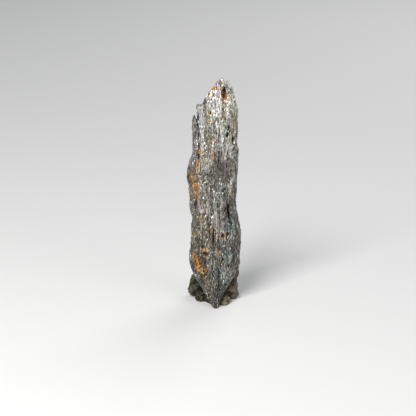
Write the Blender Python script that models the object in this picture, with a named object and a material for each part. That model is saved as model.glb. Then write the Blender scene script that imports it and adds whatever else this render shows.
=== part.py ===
"""Iridescent hematite: an upright, splintery blade of fibrous ore, held up by a wad of putty.

Run it with blender --background --python part.py, or from Blender's text editor.
The scene is in metres with +Z up. The origin is on the surface that the putty rests on, in the middle
of the footprint, and the blade's front faces -Y. The tables below are in millimetres.
"""

import bmesh
import bpy
import numpy as np

MM = 0.001

HEIGHT = 100.0  # the height that the laths' lengths are counted in
FOOT = 0.3  # how far above the surface the blade's toe ends
# The blade's edges seen from the front: height, then x.
LEFT_EDGE = [
    (0.3, 0.9), (1.5, -0.3), (3.0, -1.4), (6.0, -2.9), (10.0, -5.4), (14.0, -7.6), (18.0, -9.6),
    (22.2, -10.2), (24.0, -9.7), (34.0, -10.1), (36.9, -9.4), (39.5, -10.7), (44.8, -11.3),
    (46.4, -11.1), (49.0, -11.9), (54.3, -12.3), (58.3, -12.4), (62.5, -11.3), (65.4, -10.4),
    (67.0, -9.4), (74.0, -9.2), (82.0, -9.0), (87.3, -8.9),
]
RIGHT_EDGE = [
    (0.3, 3.2), (1.5, 3.9), (3.0, 4.5), (6.0, 5.8), (10.0, 8.4), (14.0, 10.8), (17.0, 12.1),
    (21.5, 11.8), (24.2, 12.1), (29.6, 12.4), (32.2, 12.3), (34.8, 11.5), (40.1, 10.4), (45.5, 9.5),
    (49.5, 10.1), (55.0, 9.6), (57.7, 10.4), (65.9, 10.3), (67.3, 10.7), (69.2, 9.5), (72.6, 9.6),
    (75.4, 10.0), (84.9, 9.5), (87.6, 9.6),
]
# The blade's faces seen from the side: height, then y.
FRONT_FACE = [
    (0.3, -11.4), (1.2, -11.2), (3.0, -10.0), (6.0, -8.2), (12.0, -6.2), (20.0, -4.4), (32.0, -3.5),
    (45.0, -2.4), (60.0, -1.5), (76.0, -0.4), (90.0, 1.8), (100.0, 3.8),
]
BACK_FACE = [
    (0.3, -9.0), (3.0, -5.2), (6.0, -1.8), (10.0, 2.0), (15.0, 5.4), (22.0, 8.0), (34.0, 9.6),
    (50.0, 10.1), (66.0, 9.6), (80.0, 9.4), (92.0, 8.8), (100.0, 7.8),
]
# The line that the blade's section is drawn around: height, then x.
CORE_LINE = [(0.3, 2.2), (8.0, 1.6), (20.0, 0.8), (100.0, 0.4)]
# The broken top seen from the front: x, then the height at which the front of the blade ends.
BROKEN_TOP = [
    (-9.4, 86.8), (-7.0, 87.4), (-6.2, 88.0), (-5.2, 89.8), (-4.3, 91.8), (-3.0, 93.6), (-1.4, 95.8),
    (0.0, 97.2), (1.0, 99.0), (2.0, 98.8), (2.7, 96.6), (3.4, 97.9), (4.9, 97.6), (6.3, 95.6),
    (7.2, 92.8), (8.3, 89.6), (9.3, 88.0), (10.2, 86.0),
]
BACK_DROP = 7.0  # how much lower the back of the blade ends than its front
TOP_JAGGED = 1.1  # how far the ends of the fibres differ in height along the rim
TOP_ROUGH = 0.5  # and inside it
TOP_SUNK = 0.4  # how far the broken top lies below its rim

# The blade's section is a slab with eight blunt arrises: across from the left edge at -1 to the right edge
# at 1, then deep from the front at -1 to the back at 1. It runs from the left edge round by the front.
SECTION = [
    (-1.0, 0.25), (-0.64, -0.84), (0.12, -1.0), (0.68, -0.88), (1.0, -0.15), (0.84, 0.76), (0.05, 1.0),
    (-0.74, 0.86), (-1.0, 0.25),
]
SECTION_SIZE = (11.0, 6.5)  # half its usual width and depth
ROUNDED = 0.22  # how far the arrises are worn towards an ellipse
SKEW = 3.5  # how much higher an edge's notches lie on the front than on the back
TOE_HEIGHT = 20.0  # the notches run level at the floor, and at their full skew from here up

# Broad forms of the front: x, height, half width, half length, lean, and how far they stand out.
FRONT_FORMS = {
    "hollow under the middle": (2.8, 60.5, 4.4, 7.5, 0.00, -2.4),
    "rib right of the hollow": (8.6, 60.0, 1.7, 11.0, 0.04, 1.0),
    "rib left of the hollow": (-4.6, 49.0, 2.2, 13.0, -0.10, 0.8),
    "crease above the shoulder": (6.6, 39.0, 1.4, 6.5, -0.05, -1.8),
    "right shoulder": (9.4, 27.5, 3.2, 8.5, 0.00, 0.9),
    "swell of the upper face": (-0.6, 81.0, 4.6, 12.0, 0.00, 0.9),
    "step right of the peak": (7.2, 79.0, 2.4, 5.5, 0.00, -0.9),
    "keel above the toe": (1.8, 12.0, 3.4, 12.0, 0.00, 1.1),
    "seam on the left": (-9.0, 50.0, 1.0, 9.0, 0.02, -1.3),
    "lower seam on the left": (-8.3, 18.5, 1.2, 5.0, -0.15, -0.9),
    "lens in the lower face": (-2.4, 27.0, 2.6, 12.0, -0.05, 0.6),
}
# The same for the back.
BACK_FORMS = {
    "long rib": (-3.4, 58.0, 2.4, 22.0, 0.06, 1.3),
    "valley": (2.4, 46.0, 2.2, 15.0, 0.03, -1.7),
    "right rib": (7.2, 60.0, 2.0, 16.0, -0.04, 0.9),
    "low swell": (4.5, 24.0, 4.5, 9.0, 0.00, 0.8),
    "notch under the top": (-6.2, 82.0, 2.4, 4.5, 0.00, -1.4),
}
# Laths that the blade splits into, the broad ones first: how many lie side by side around it, how many end to
# end along it, how far they stand off each other, and a seed.
LATHS = [(9, 3, 1.6, 41), (22, 6, 1.5, 42), (32, 11, 0.7, 43)]
LATH_SIDES = 3.2  # how steep a lath's long edges are
LATH_ENDS = 6.0  # how steep its broken ends are
LATH_SLANT = 0.9  # how obliquely it breaks off, as a share of its length
SWAY = 0.014  # how far a fibre wanders sideways, as a share of the way round
EDGE_CALM = 0.7  # how much the laths are held back along the two edges, whose outline is drawn above
FULL_WIDTH = 22.0  # where the blade is narrower than this, some of the laths run out at its edges
NARROWING = 0.7  # how many of them do: at 0 none, and at 1 the laths keep their width
TOE_CALM = 9.0  # the relief fades out from this height down
RIM_RELIEF = 0.15  # how much of it is left at the broken rim
RIM_REACH = 0.06  # how far below the rim it starts to fade, as a share of the height there

# Pits and cracks in the front: x, height, half width, half length, and depth.
PITS = {
    "slot under the peak": (1.9, 93.0, 0.85, 3.6, 2.4),
    "hole right of the upper face": (6.0, 75.0, 0.65, 1.5, 1.6),
    "notch on the right": (9.2, 70.6, 0.8, 1.9, 1.6),
    "pit in the upper seam": (-8.1, 63.8, 0.6, 1.7, 1.4),
    "pit in the left seam": (-8.6, 43.6, 0.8, 1.4, 1.5),
    "middle crack": (0.7, 30.6, 0.42, 4.2, 1.6),
    "right pit": (5.0, 29.6, 0.8, 0.75, 1.4),
    "small right pit": (7.5, 30.8, 0.6, 0.8, 1.2),
    "left pit": (-3.6, 24.6, 0.6, 1.0, 1.3),
    "lower left pit": (-2.4, 21.4, 0.8, 0.8, 1.3),
    "lower right pit": (4.8, 18.4, 0.55, 0.75, 1.2),
}
PITS_WORN = 0.22  # how irregular the pits are, as a share of their size
# Splinters that stand off the blade: foot, tip, and half their size across and deep.
SPLINTERS = {
    "left splinter": ((-8.6, 4.0, 60.0), (-9.5, 3.6, 83.6), 0.9, 2.6),
    "back splinter": ((-4.6, 7.8, 56.0), (-5.6, 8.8, 86.6), 2.6, 1.3),
    "low back splinter": ((4.6, 7.8, 20.0), (3.4, 9.8, 50.0), 2.7, 1.2),
}
# A splinter's girth along its length, each from 0 to 1.
SPLINTER_SHAPE = [(0.0, 0.4), (0.15, 0.9), (0.4, 1.0), (0.6, 0.92), (0.8, 0.8), (0.9, 0.5), (1.0, 0.12)]
LEAN_TO_TIP = 0.8  # how far a splinter's tip lies towards its left side

COLUMNS = 60  # points in each ring of the blade's skin
ROWS = 54  # rings from the toe to the broken rim
CAP_RINGS = 4  # rings from the rim to the middle of the top

# Putty: the middle and the three radii of each lump that it was pressed together from.
PUTTY_LUMPS = [
    ((0.6, 4.8, 2.0), (8.0, 4.8, 11.5)),
    ((2.4, -1.2, 1.0), (4.0, 5.4, 4.6)),
    ((-6.4, 5.6, 2.6), (3.6, 3.9, 3.4)),
    ((-7.0, 6.0, 5.8), (1.8, 2.5, 3.6)),
    ((8.0, 4.8, 2.8), (2.7, 4.2, 4.2)),
    ((10.0, 5.8, 8.0), (1.4, 2.5, 6.4)),
    ((5.4, -1.8, 1.2), (2.8, 3.8, 2.4)),
]
PUTTY_MIDDLE = (0.8, 1.7)
PUTTY_BLEND = 7.0  # how sharply the lumps meet
PUTTY_REACH = 18.0  # farther than any of it lies from its middle
PUTTY_AROUND = 40
PUTTY_UP = 10
SEAT_GAP = 0.45  # left between the putty and the blade

HEMATITE_COLOUR = (0.26, 0.26, 0.27, 1.0)
PUTTY_COLOUR = (0.19, 0.17, 0.13, 1.0)


def clear_scene():
    for thing in list(bpy.data.objects):
        bpy.data.objects.remove(thing)


def make_material(name, colour, roughness, metallic):
    material = bpy.data.materials.new(name)
    material.use_nodes = True
    shader = material.node_tree.nodes["Principled BSDF"]
    shader.inputs["Base Color"].default_value = colour
    shader.inputs["Roughness"].default_value = roughness
    shader.inputs["Metallic"].default_value = metallic
    return material


def read_off(table, at):
    """The table's second column at these values of its first, in straight lines between its rows."""
    return np.interp(at, *np.transpose(table))


def smooth(t):
    """A smoothstep from 0 to 1."""
    t = np.clip(t, 0.0, 1.0)
    return t * t * (3.0 - 2.0 * t)


def lattice_noise(around, along, cells_around, cells_along, seed):
    """Random values from -1 to 1 on a lattice that closes on itself around the blade, smoothly joined."""
    values = np.random.RandomState(seed).uniform(-1.0, 1.0, (cells_around, cells_along + 2))
    a = (around % 1.0) * cells_around
    b = np.clip(along, 0.0, 1.0) * cells_along
    i = np.floor(a).astype(int)
    j = np.floor(b).astype(int)
    across, up = smooth(a - i), smooth(b - j)
    left, right = i % cells_around, (i + 1) % cells_around
    low = values[left, j] * (1 - across) + values[right, j] * across
    high = values[left, j + 1] * (1 - across) + values[right, j + 1] * across
    return low * (1 - up) + high * up


def lath_heights(around, along, strips, breaks, seed):
    """Random heights from -1 to 1 for laths that lie side by side around the blade and end to end along it.
    Each strip of laths is broken at its own places, and obliquely."""
    random = np.random.RandomState(seed)
    values = random.uniform(-1.0, 1.0, (strips, breaks + 4))
    phase, slant = random.uniform(1.0, 2.0, strips), random.uniform(-LATH_SLANT, LATH_SLANT, strips)
    a = (around % 1.0) * strips
    strip = np.floor(a).astype(int)
    aside = a - strip

    def height_of(k):
        b = np.clip(along, 0.0, 1.0) * breaks + phase[k] + slant[k] * (aside - 0.5)
        j = np.floor(b).astype(int)
        up = smooth((b - j - 0.5) * LATH_ENDS + 0.5)
        return values[k, j] * (1 - up) + values[k, j + 1] * up

    across = smooth((aside - 0.5) * LATH_SIDES + 0.5)
    return height_of(strip % strips) * (1 - across) + height_of((strip + 1) % strips) * across


def section_outline(columns):
    """Points across and deep on the section, spaced evenly along it, with its arrises a little worn."""
    corners = np.array(SECTION)
    sides = np.linalg.norm(np.diff(corners, axis=0) * SECTION_SIZE, axis=1)
    run = np.r_[0.0, np.cumsum(sides)]
    at = np.arange(columns) / columns * run[-1]
    across, deep = np.interp(at, run, corners[:, 0]), np.interp(at, run, corners[:, 1])
    bow = 1 / np.hypot(across, deep)
    return across + (across * bow - across) * ROUNDED, deep + (deep * bow - deep) * ROUNDED


def section_point(across, deep, height):
    """x and y on the plain section at this height: across runs from -1 at the left edge to 1 at the right,
    and deep from -1 at the front to 1 at the back."""
    core_x = read_off(CORE_LINE, height)
    front, back = read_off(FRONT_FACE, height), read_off(BACK_FACE, height)
    core_y = (front + back) / 2
    notched = height + SKEW * deep * smooth(height / TOE_HEIGHT)
    left, right = core_x - read_off(LEFT_EDGE, notched), read_off(RIGHT_EDGE, notched) - core_x
    x = core_x + np.where(across < 0, left, right) * across
    return x, core_y + (back - front) / 2 * deep


def forms_at(x, height, forms):
    """The sum of the forms, each a bell that fades over its half width and half length."""
    total = np.zeros_like(x)
    for place_x, place_z, half_width, half_length, lean, out in forms.values():
        up = height - place_z
        total += out * np.exp(-(((x - place_x - lean * up) / half_width) ** 2) - (up / half_length) ** 2)
    return total


def relief(x, height, around, across, deep):
    """How far the surface stands out from the plain section: broad forms, then laths with stepped edges."""
    front = smooth(0.5 - deep * 1.5)
    out = forms_at(x, height, FRONT_FORMS) * front + forms_at(x, height, BACK_FORMS) * (1 - front)
    along = height / HEIGHT
    width = read_off(RIGHT_EDGE, height) - read_off(LEFT_EDGE, height)
    middle = np.where(around < 0.5, 0.25, 0.75)
    lath_at = middle + (around - middle) * np.minimum(width / FULL_WIDTH, 1.0) ** NARROWING
    lath_at += SWAY * lattice_noise(around, along, 5, 6, 3)
    calm = 1 - EDGE_CALM * smooth((np.abs(across) - 0.8) * 5)
    for strips, breaks, stand_off, seed in LATHS:
        out += calm * stand_off / 2 * lath_heights(lath_at, along, strips, breaks, seed)
    return out * smooth(height / TOE_CALM)


def blade_grid(grow=0.0):
    """The blade's skin as rings of points, from the toe to the broken rim and over the top to its middle."""
    across, deep = section_outline(COLUMNS)
    around = np.arange(COLUMNS) / COLUMNS
    rim_x, _ = section_point(across, deep, np.full(COLUMNS, 0.9 * HEIGHT))
    rim = top_height(rim_x, deep) + TOP_JAGGED * np.random.RandomState(21).uniform(-1.0, 0.3, COLUMNS)
    share = np.linspace(0.0, 1.0, ROWS)[:, None]
    height = FOOT + (rim - FOOT) * share
    across, deep, around = (np.broadcast_to(values, height.shape) for values in (across, deep, around))
    x, y = section_point(across, deep, height)
    out_x, out_y = outward(x, y)
    near_rim = smooth((share - 1) / RIM_REACH + 1)
    out = relief(x, height, around, across, deep) * (1 - (1 - RIM_RELIEF) * near_rim) + grow
    rings = np.stack([x + out * out_x, y + out * out_y, height], axis=-1)
    return np.concatenate([rings, top_rings(rings[-1], deep[-1])])


def outward(x, y):
    """The level direction out of each ring, at right angles to the line between its neighbours."""
    run_x, run_y = (np.roll(c, -1, axis=1) - np.roll(c, 1, axis=1) for c in (x, y))
    length = np.maximum(np.hypot(run_x, run_y), 1e-6)
    return run_y / length, -run_x / length


def top_height(x, deep):
    """The broken top's height: highest along the front, and falling to the back."""
    return read_off(BROKEN_TOP, x) - BACK_DROP * smooth(deep * 0.5 + 0.5)


def top_rings(rim, deep):
    """Rings that close the broken top, from the rim to its middle."""
    middle = rim[:, :2].mean(axis=0)
    random = np.random.RandomState(22)
    rings = []
    for share in np.linspace(0.0, 0.9, CAP_RINGS + 1)[1:]:
        ring = rim.copy()
        ring[:, :2] += (middle - rim[:, :2]) * share
        rough = TOP_ROUGH * random.uniform(-1.0, 0.4, len(rim))
        ring[:, 2] = top_height(ring[:, 0], deep * (1 - share)) + (rough - TOP_SUNK) * smooth(share * 2.5)
        rings.append(ring)
    return np.array(rings)


def mesh_of_rings(name, rings):
    """A closed mesh from rings of points in millimetres, listed from the bottom to the top."""
    mesh = bmesh.new()
    loops = [[mesh.verts.new(point * MM) for point in ring] for ring in rings]
    for lower, upper in zip(loops, loops[1:]):
        for k in range(len(lower)):
            n = (k + 1) % len(lower)
            mesh.faces.new((lower[k], lower[n], upper[n], upper[k]))
    for loop, ring in ((loops[0][::-1], rings[0]), (loops[-1], rings[-1])):
        pole = mesh.verts.new(ring.mean(axis=0) * MM)
        for k in range(len(loop)):
            mesh.faces.new((loop[k], loop[(k + 1) % len(loop)], pole))
    bmesh.ops.triangulate(mesh, faces=mesh.faces[:])
    bmesh.ops.recalc_face_normals(mesh, faces=mesh.faces[:])
    data = bpy.data.meshes.new(name)
    mesh.to_mesh(data)
    mesh.free()
    return data


def add_object(name, data, material=None):
    thing = bpy.data.objects.new(name, data)
    bpy.context.scene.collection.objects.link(thing)
    if material:
        data.materials.append(material)
    return thing


def add_helper(name, data):
    helper = add_object(name, data)
    helper.hide_render = True
    helper.display_type = "WIRE"
    return helper


def add_boolean(thing, helper, operation):
    modifier = thing.modifiers.new(helper.name, "BOOLEAN")
    modifier.operation = operation
    modifier.solver = "EXACT"
    modifier.object = helper


def pits_mesh(grid):
    """One mesh of long lemon shapes, each let into the front of the blade where a pit or crack is."""
    mesh = bmesh.new()
    random = np.random.RandomState(5)
    skin = grid[:ROWS].reshape(-1, 3)
    skin = skin[skin[:, 1] < 5.0]
    for x, height, half_width, half_length, depth in PITS.values():
        nearest = skin[np.argmin(np.hypot(skin[:, 0] - x, skin[:, 2] - height))]
        made = bmesh.ops.create_uvsphere(mesh, u_segments=7, v_segments=6, radius=MM)
        for vert in made["verts"]:
            vert.co *= 1.0 + random.uniform(-PITS_WORN, PITS_WORN)
        bmesh.ops.scale(mesh, verts=made["verts"], vec=(half_width, depth, half_length))
        bmesh.ops.translate(mesh, verts=made["verts"], vec=np.array([x, nearest[1] + 0.1, height]) * MM)
    data = bpy.data.meshes.new("pits")
    mesh.to_mesh(data)
    mesh.free()
    return data


def splinter_rings(foot, tip, half_width, half_thick):
    """Six-sided rings of a lath that runs from the foot to the tip and is broken off obliquely there."""
    foot, tip = np.array(foot), np.array(tip)
    corners = np.arange(6) / 6 * 2 * np.pi + 0.3
    section = np.stack([np.cos(corners) * half_width, np.sin(corners) * half_thick, np.zeros(6)], axis=-1)
    rings = []
    for share, size in SPLINTER_SHAPE:
        leaning = np.array([-half_width * (1 - size) * LEAN_TO_TIP * (share > 0.5), 0.0, 0.0])
        rings.append(foot + (tip - foot) * share + section * size + leaning)
    return np.array(rings)


def add_blade(material):
    grid = blade_grid()
    blade = add_object("hematite_blade", mesh_of_rings("hematite_blade", grid), material)
    for name, (foot, tip, half_width, half_thick) in SPLINTERS.items():
        rings = splinter_rings(foot, tip, half_width, half_thick)
        add_boolean(blade, add_helper(name.replace(" ", "_"), mesh_of_rings(name, rings)), "UNION")
    add_boolean(blade, add_helper("pits", pits_mesh(grid)), "DIFFERENCE")
    return blade


def putty_field(points):
    """Above 0 inside the putty: the lumps' own fields, blended so that they run into each other."""
    total = 0.0
    for middle, radii in PUTTY_LUMPS:
        inside = 1.0 - np.linalg.norm((points - middle) / np.array(radii), axis=-1)
        total = total + np.exp(PUTTY_BLEND * inside)
    return np.log(total) / PUTTY_BLEND


def putty_rings():
    """Rings of the putty's skin: the farthest point inside it along rays from the middle of its foot."""
    turn = np.arange(PUTTY_AROUND) / PUTTY_AROUND * 2 * np.pi
    rise = np.linspace(0.0, 1.0, PUTTY_UP) ** 0.9 * (np.pi / 2 - 0.12)
    rays = np.stack(
        [
            np.cos(rise)[:, None] * np.cos(turn),
            np.cos(rise)[:, None] * np.sin(turn),
            np.broadcast_to(np.sin(rise)[:, None], (PUTTY_UP, PUTTY_AROUND)),
        ],
        axis=-1,
    )
    middle = np.array([*PUTTY_MIDDLE, 0.0])
    reach = np.linspace(0.0, PUTTY_REACH, 241)
    inside = putty_field(middle + rays[..., None, :] * reach[:, None]) > 0
    farthest = reach[inside.shape[-1] - 1 - np.argmax(inside[..., ::-1], axis=-1)]
    return middle + rays * farthest[..., None]


def add_putty(material):
    putty = add_object("putty_wad", mesh_of_rings("putty_wad", putty_rings()), material)
    seat = blade_grid(grow=SEAT_GAP)
    seat[..., 2] -= SEAT_GAP
    add_boolean(putty, add_helper("seat", mesh_of_rings("seat", seat)), "DIFFERENCE")
    return putty


def main():
    clear_scene()
    add_blade(make_material("hematite", HEMATITE_COLOUR, 0.35, 1.0))
    add_putty(make_material("putty", PUTTY_COLOUR, 0.7, 0.0))


main()
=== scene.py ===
"""Iridescent hematite: a splintery blade of fibrous ore, held upright by a wad of putty.

The file is laid out as a Blender add-on and is run as a script. Lengths in the tables are in millimetres, in
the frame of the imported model: +Z up, the blade's front towards -Y, the origin under the middle.
"""

import math

import bpy
import numpy as np
from mathutils import Matrix, Vector


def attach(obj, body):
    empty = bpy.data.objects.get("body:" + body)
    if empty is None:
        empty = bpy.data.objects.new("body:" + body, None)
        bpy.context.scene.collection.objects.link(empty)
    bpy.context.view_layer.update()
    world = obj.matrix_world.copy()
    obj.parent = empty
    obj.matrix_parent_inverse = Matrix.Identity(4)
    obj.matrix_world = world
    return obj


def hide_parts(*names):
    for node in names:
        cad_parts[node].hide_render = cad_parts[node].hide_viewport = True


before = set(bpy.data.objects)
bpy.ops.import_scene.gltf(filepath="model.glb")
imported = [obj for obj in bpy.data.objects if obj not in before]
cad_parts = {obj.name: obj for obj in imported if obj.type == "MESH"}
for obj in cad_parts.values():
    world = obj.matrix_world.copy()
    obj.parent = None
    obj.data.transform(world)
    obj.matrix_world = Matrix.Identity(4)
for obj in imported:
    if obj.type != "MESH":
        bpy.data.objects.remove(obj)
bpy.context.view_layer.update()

bl_info = {
    "name": "Hematite Blade",
    "version": (1, 0, 0),
    "blender": (4, 5, 0),
    "location": "3D View > Sidebar > Hematite",
    "description": "Builds a fibrous, rust-stained hematite blade on a wad of putty, with a studio stage",
    "category": "Add Mesh",
}

MM = 0.001

# ---------------------------------------------------------------- the blade's drawing

HEIGHT = 100.0
FOOT = 0.3
# Height, then x.
LEFT_EDGE = [
    (0.3, 0.9), (1.5, -0.4), (3.0, -1.6), (6.0, -3.5), (10.0, -6.4), (14.0, -8.8), (18.0, -10.1),
    (22.2, -10.3), (24.0, -9.7), (34.0, -10.1), (36.9, -9.4), (39.5, -10.6), (43.0, -10.8), (46.6, -11.3),
    (48.6, -11.2), (50.2, -11.6), (52.0, -11.5), (53.4, -12.4), (58.3, -12.5), (62.5, -11.5),
    (65.4, -10.4), (67.0, -9.4), (74.0, -9.2), (82.0, -9.0), (87.3, -8.9),
]
RIGHT_EDGE = [
    (0.3, 3.2), (1.5, 3.9), (3.0, 4.5), (6.0, 6.0), (10.0, 8.9), (14.0, 11.4), (17.0, 12.3), (21.5, 11.8),
    (24.2, 12.1), (29.6, 12.3), (32.2, 12.2), (34.8, 11.4), (40.1, 10.2), (45.5, 9.3), (49.5, 9.9),
    (55.0, 9.5), (57.7, 10.2), (65.9, 10.1), (67.3, 10.6), (69.2, 9.4), (72.6, 9.5), (75.4, 9.9),
    (84.9, 9.5), (88.6, 9.6),
]
# Height, then y.
FRONT_FACE = [
    (0.3, -11.4), (1.2, -11.2), (3.0, -10.0), (6.0, -8.2), (12.0, -6.2), (20.0, -4.4), (32.0, -3.5),
    (45.0, -2.4), (60.0, -1.5), (76.0, -0.4), (90.0, 1.8), (100.0, 3.8),
]
BACK_FACE = [
    (0.3, -9.0), (3.0, -5.2), (6.0, -1.8), (10.0, 2.0), (15.0, 5.4), (22.0, 8.0), (34.0, 9.6), (50.0, 10.1),
    (66.0, 9.6), (80.0, 9.4), (92.0, 8.8), (100.0, 7.8),
]
CORE_LINE = [(0.3, 2.2), (8.0, 1.6), (20.0, 0.8), (100.0, 0.4)]
# x, then the height at which the front of the blade ends.
BROKEN_TOP = [
    (-9.4, 86.5), (-8.6, 87.0), (-6.4, 87.1), (-5.4, 89.6), (-4.4, 91.9), (-3.0, 94.0), (-1.6, 96.0),
    (0.0, 97.6), (0.7, 97.8), (1.3, 98.9), (2.7, 98.8), (3.1, 98.0), (3.8, 96.5), (4.4, 98.0), (5.0, 97.9),
    (6.2, 95.8), (7.2, 93.0), (8.3, 90.4), (9.3, 89.0), (10.2, 86.5),
]
# How much lower the top is at the back. Left of this x is the shoulder, which stays level further back.
BACK_DROP = 7.0
SHOULDER_X = -5.0
SHOULDER_FADE = 2.5
SHOULDER_LEVEL = 1.1
# The section's corners, across and deep, from -1 to 1; the size by which its points are spaced; and how far its
# arrises are worn towards an ellipse.
SECTION = [
    (-1.0, 0.25), (-0.64, -0.84), (0.12, -1.0), (0.68, -0.88), (1.0, -0.15), (0.84, 0.76), (0.05, 1.0),
    (-0.74, 0.86), (-1.0, 0.25),
]
SECTION_SIZE = (11.0, 6.5)
ROUNDED = 0.22
# Notches in the edges lie this much lower at the back than in the middle, and less in the toe.
SKEW = 3.5
TOE_HEIGHT = 20.0

# Each row of these tables is a soft oval: x, height, half width, half length, a strength, and its lean if it
# leans. Here the strength is how far a form stands out.
FRONT_FORMS = {
    "hollow under the middle": (3.4, 60.0, 4.2, 7.0, -2.4),
    "rib right of the hollow": (7.9, 56.0, 1.5, 9.0, 1.2),
    "rib left of the hollow": (-4.6, 49.0, 2.2, 13.0, 0.8, -0.10),
    "crease above the shoulder": (7.0, 40.2, 0.6, 4.4, -1.0, -0.2),
    "right shoulder": (9.4, 27.5, 3.2, 8.5, 0.9),
    "swell of the upper face": (-0.6, 81.0, 4.6, 12.0, 0.9),
    "step right of the peak": (7.2, 79.0, 2.4, 5.5, -0.9),
    "keel above the toe": (1.8, 12.0, 3.4, 12.0, 1.1),
    "seam on the left": (-8.4, 51.0, 1.2, 9.0, -1.4, 0.02),
    "lower seam on the left": (-8.3, 18.5, 1.2, 5.0, -0.9, -0.15),
    "lens in the lower face": (-2.4, 27.0, 2.6, 12.0, 0.6, -0.05),
}
BACK_FORMS = {
    "long rib": (-3.4, 58.0, 2.4, 22.0, 1.3, 0.06),
    "valley": (2.4, 46.0, 2.2, 15.0, -1.7, 0.03),
    "right rib": (7.2, 60.0, 2.0, 16.0, 0.9, -0.04),
    "low swell": (4.5, 24.0, 4.5, 9.0, 0.8),
    "notch under the top": (-6.2, 82.0, 2.4, 4.5, -1.4),
}
# Laths: how many lie side by side and end to end, how far they stand off, a seed, and their tilt. The ledges lie
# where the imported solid's do, and the two smaller sizes stand off half as far. Fine laths also have a tone, and
# its strength comes last.
LEDGES = [(9, 3, 1.6, 41, 0.0), (22, 6, 0.8, 42, 0.25), (32, 11, 0.35, 43, 0.5)]
FINE_LATHS = [(67, 34, 0.40, 44, 0.9, 0.9), (118, 74, 0.32, 45, 1.2, 0.75)]
# How steep a lath's sides and ends are, how oblique its ends, and how much it tilts along itself.
LATH_SIDES = 6.0
LATH_ENDS = 9.0
LATH_SLANT = 0.9
TILT_ALONG = 0.5
# Where the blade is narrower than this, fewer laths lie side by side, by this power of its width.
FULL_WIDTH = 22.0
NARROWING = 0.7
# How much weaker the ledges are at the edges, and the fine laths' usual and least strength.
EDGE_CALM = 0.7
LIVELY = 0.75
LEAST_LIVELY = 0.1
# How far the skin lies inside the drawing, and the height up to which the relief fades in.
SUNK = 0.2
TOE_CALM = 9.0
# How much of the relief the rim loses, and in what share of the height below it.
RIM_CALM = 0.6
RIM_FADE = 0.05
# Noise: how strong, how many cells round and up the blade, and a seed.
WANDER = [(0.014, 5, 6, 3), (0.0045, 19, 26, 4), (0.0016, 47, 90, 5)]
LIVELY_NOISE = (0.4, 9, 12, 12)
GRAIN_NOISE = (0.05, 210, 180, 10)
RAGGED_NOISE = (1.0, 90, 110, 11)
SHADE_NOISE = [(0.25, 9, 14, 13), (0.25, 27, 40, 14)]
TINT_NOISE = (0.4, 13, 22, 15)
SHEEN_NOISE = (0.4, 15, 18, 16)
# Cracks between laths: places for one side by side, half width, depth, how much of a crack counts as a pit (and so
# gets a pit's darkening, partly painted shade), the noise that bends them, the noise that opens them and its value
# where it does, and the height that they fade in over.
CRACK_PLACES = 44.0
CRACK_WIDTH = 0.10
CRACK_DEPTH = 0.35
CRACK_SHADE = 0.8
CRACK_BENDS = (0.3, 22, 30, 8)
CRACK_NOISE = (3.0, 44, 13, 9)
CRACK_LEAST = 0.6
CRACK_START = 6.0
# Small pits all over: the noise, the value at which one begins, and how deep they go.
SPECK_NOISE = (6.0, 110, 120, 17)
SPECK_LEAST = 3.72
SPECK_DEPTH = 0.6
# How deep rust has eaten into the skin, and how ragged it and the pits are. The front's rust fades out behind
# this y.
RUST_DEPTH = 0.4
RUST_RAGGED = 0.5
PIT_RAGGED = 0.35
RUST_BACK = 6.0
RUST_FADE = 2.5
# A place is hollow where it lies this much below the mean of this many columns and rows on either side; hollows are
# darkened towards the seam colour, partly the seams' own dark ore and partly painted shade. A pit is this much
# darker, in doublings, for each millimetre: painted shade as well as the pits' own dark colour.
HOLLOW_REACH = (8, 4)
HOLLOW_DEPTH = 0.45
PIT_SHADE = 0.6

# The strength is the depth.
PITS = {
    "slot under the peak": (3.0, 93.2, 0.8, 2.5, 1.5),
    "hole right of the upper face": (5.0, 74.9, 0.65, 1.2, 1.8),
    "hole above it": (5.5, 77.9, 0.5, 0.7, 1.6),
    "notch on the right": (8.1, 72.0, 0.9, 1.9, 2.0),
    "pit in the upper seam": (-7.2, 64.5, 0.65, 1.7, 1.8),
    "pit in the left seam": (-8.7, 42.4, 0.6, 1.7, 1.8),
    "middle crack": (0.3, 30.3, 0.3, 4.1, 1.6),
    "right pit": (4.4, 30.8, 0.7, 0.8, 1.5),
    "small right pit": (6.8, 31.3, 0.55, 0.6, 1.3),
    "left pit": (-4.2, 25.4, 0.55, 0.9, 1.4),
    "lower left pit": (-3.2, 22.6, 0.75, 0.9, 1.4),
    "lower right pit": (4.6, 20.1, 0.5, 0.7, 1.3),
    "gap left of the keel": (-2.3, 38.5, 0.28, 1.2, 1.0),
    "gap beside the shoulder": (-8.3, 79.6, 0.4, 4.0, 1.6),
    "pit in the upper middle": (0.4, 76.0, 0.3, 0.9, 0.9),
    "second pit in the upper middle": (-0.4, 71.0, 0.28, 0.8, 0.9),
    "pit over the hollow": (2.9, 66.4, 0.35, 1.6, 1.0),
    "pit by the right edge": (8.4, 24.0, 0.35, 2.6, 1.0),
    "pit low on the right": (7.6, 17.0, 0.35, 1.4, 1.0),
    "pit in the lower patch": (-5.2, 13.6, 0.5, 1.2, 1.0),
    "crease": (6.5, 42.4, 0.4, 1.8, 1.7),
    "foot of the crease": (7.7, 37.2, 0.38, 1.4, 1.3),
    "middle of the crease": (7.0, 39.7, 0.4, 2.0, 1.7),
    "end of the crease": (8.4, 35.6, 0.4, 0.9, 0.7),
    "end of the left seam": (-7.4, 45.5, 0.45, 0.9, 1.6),
}
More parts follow.
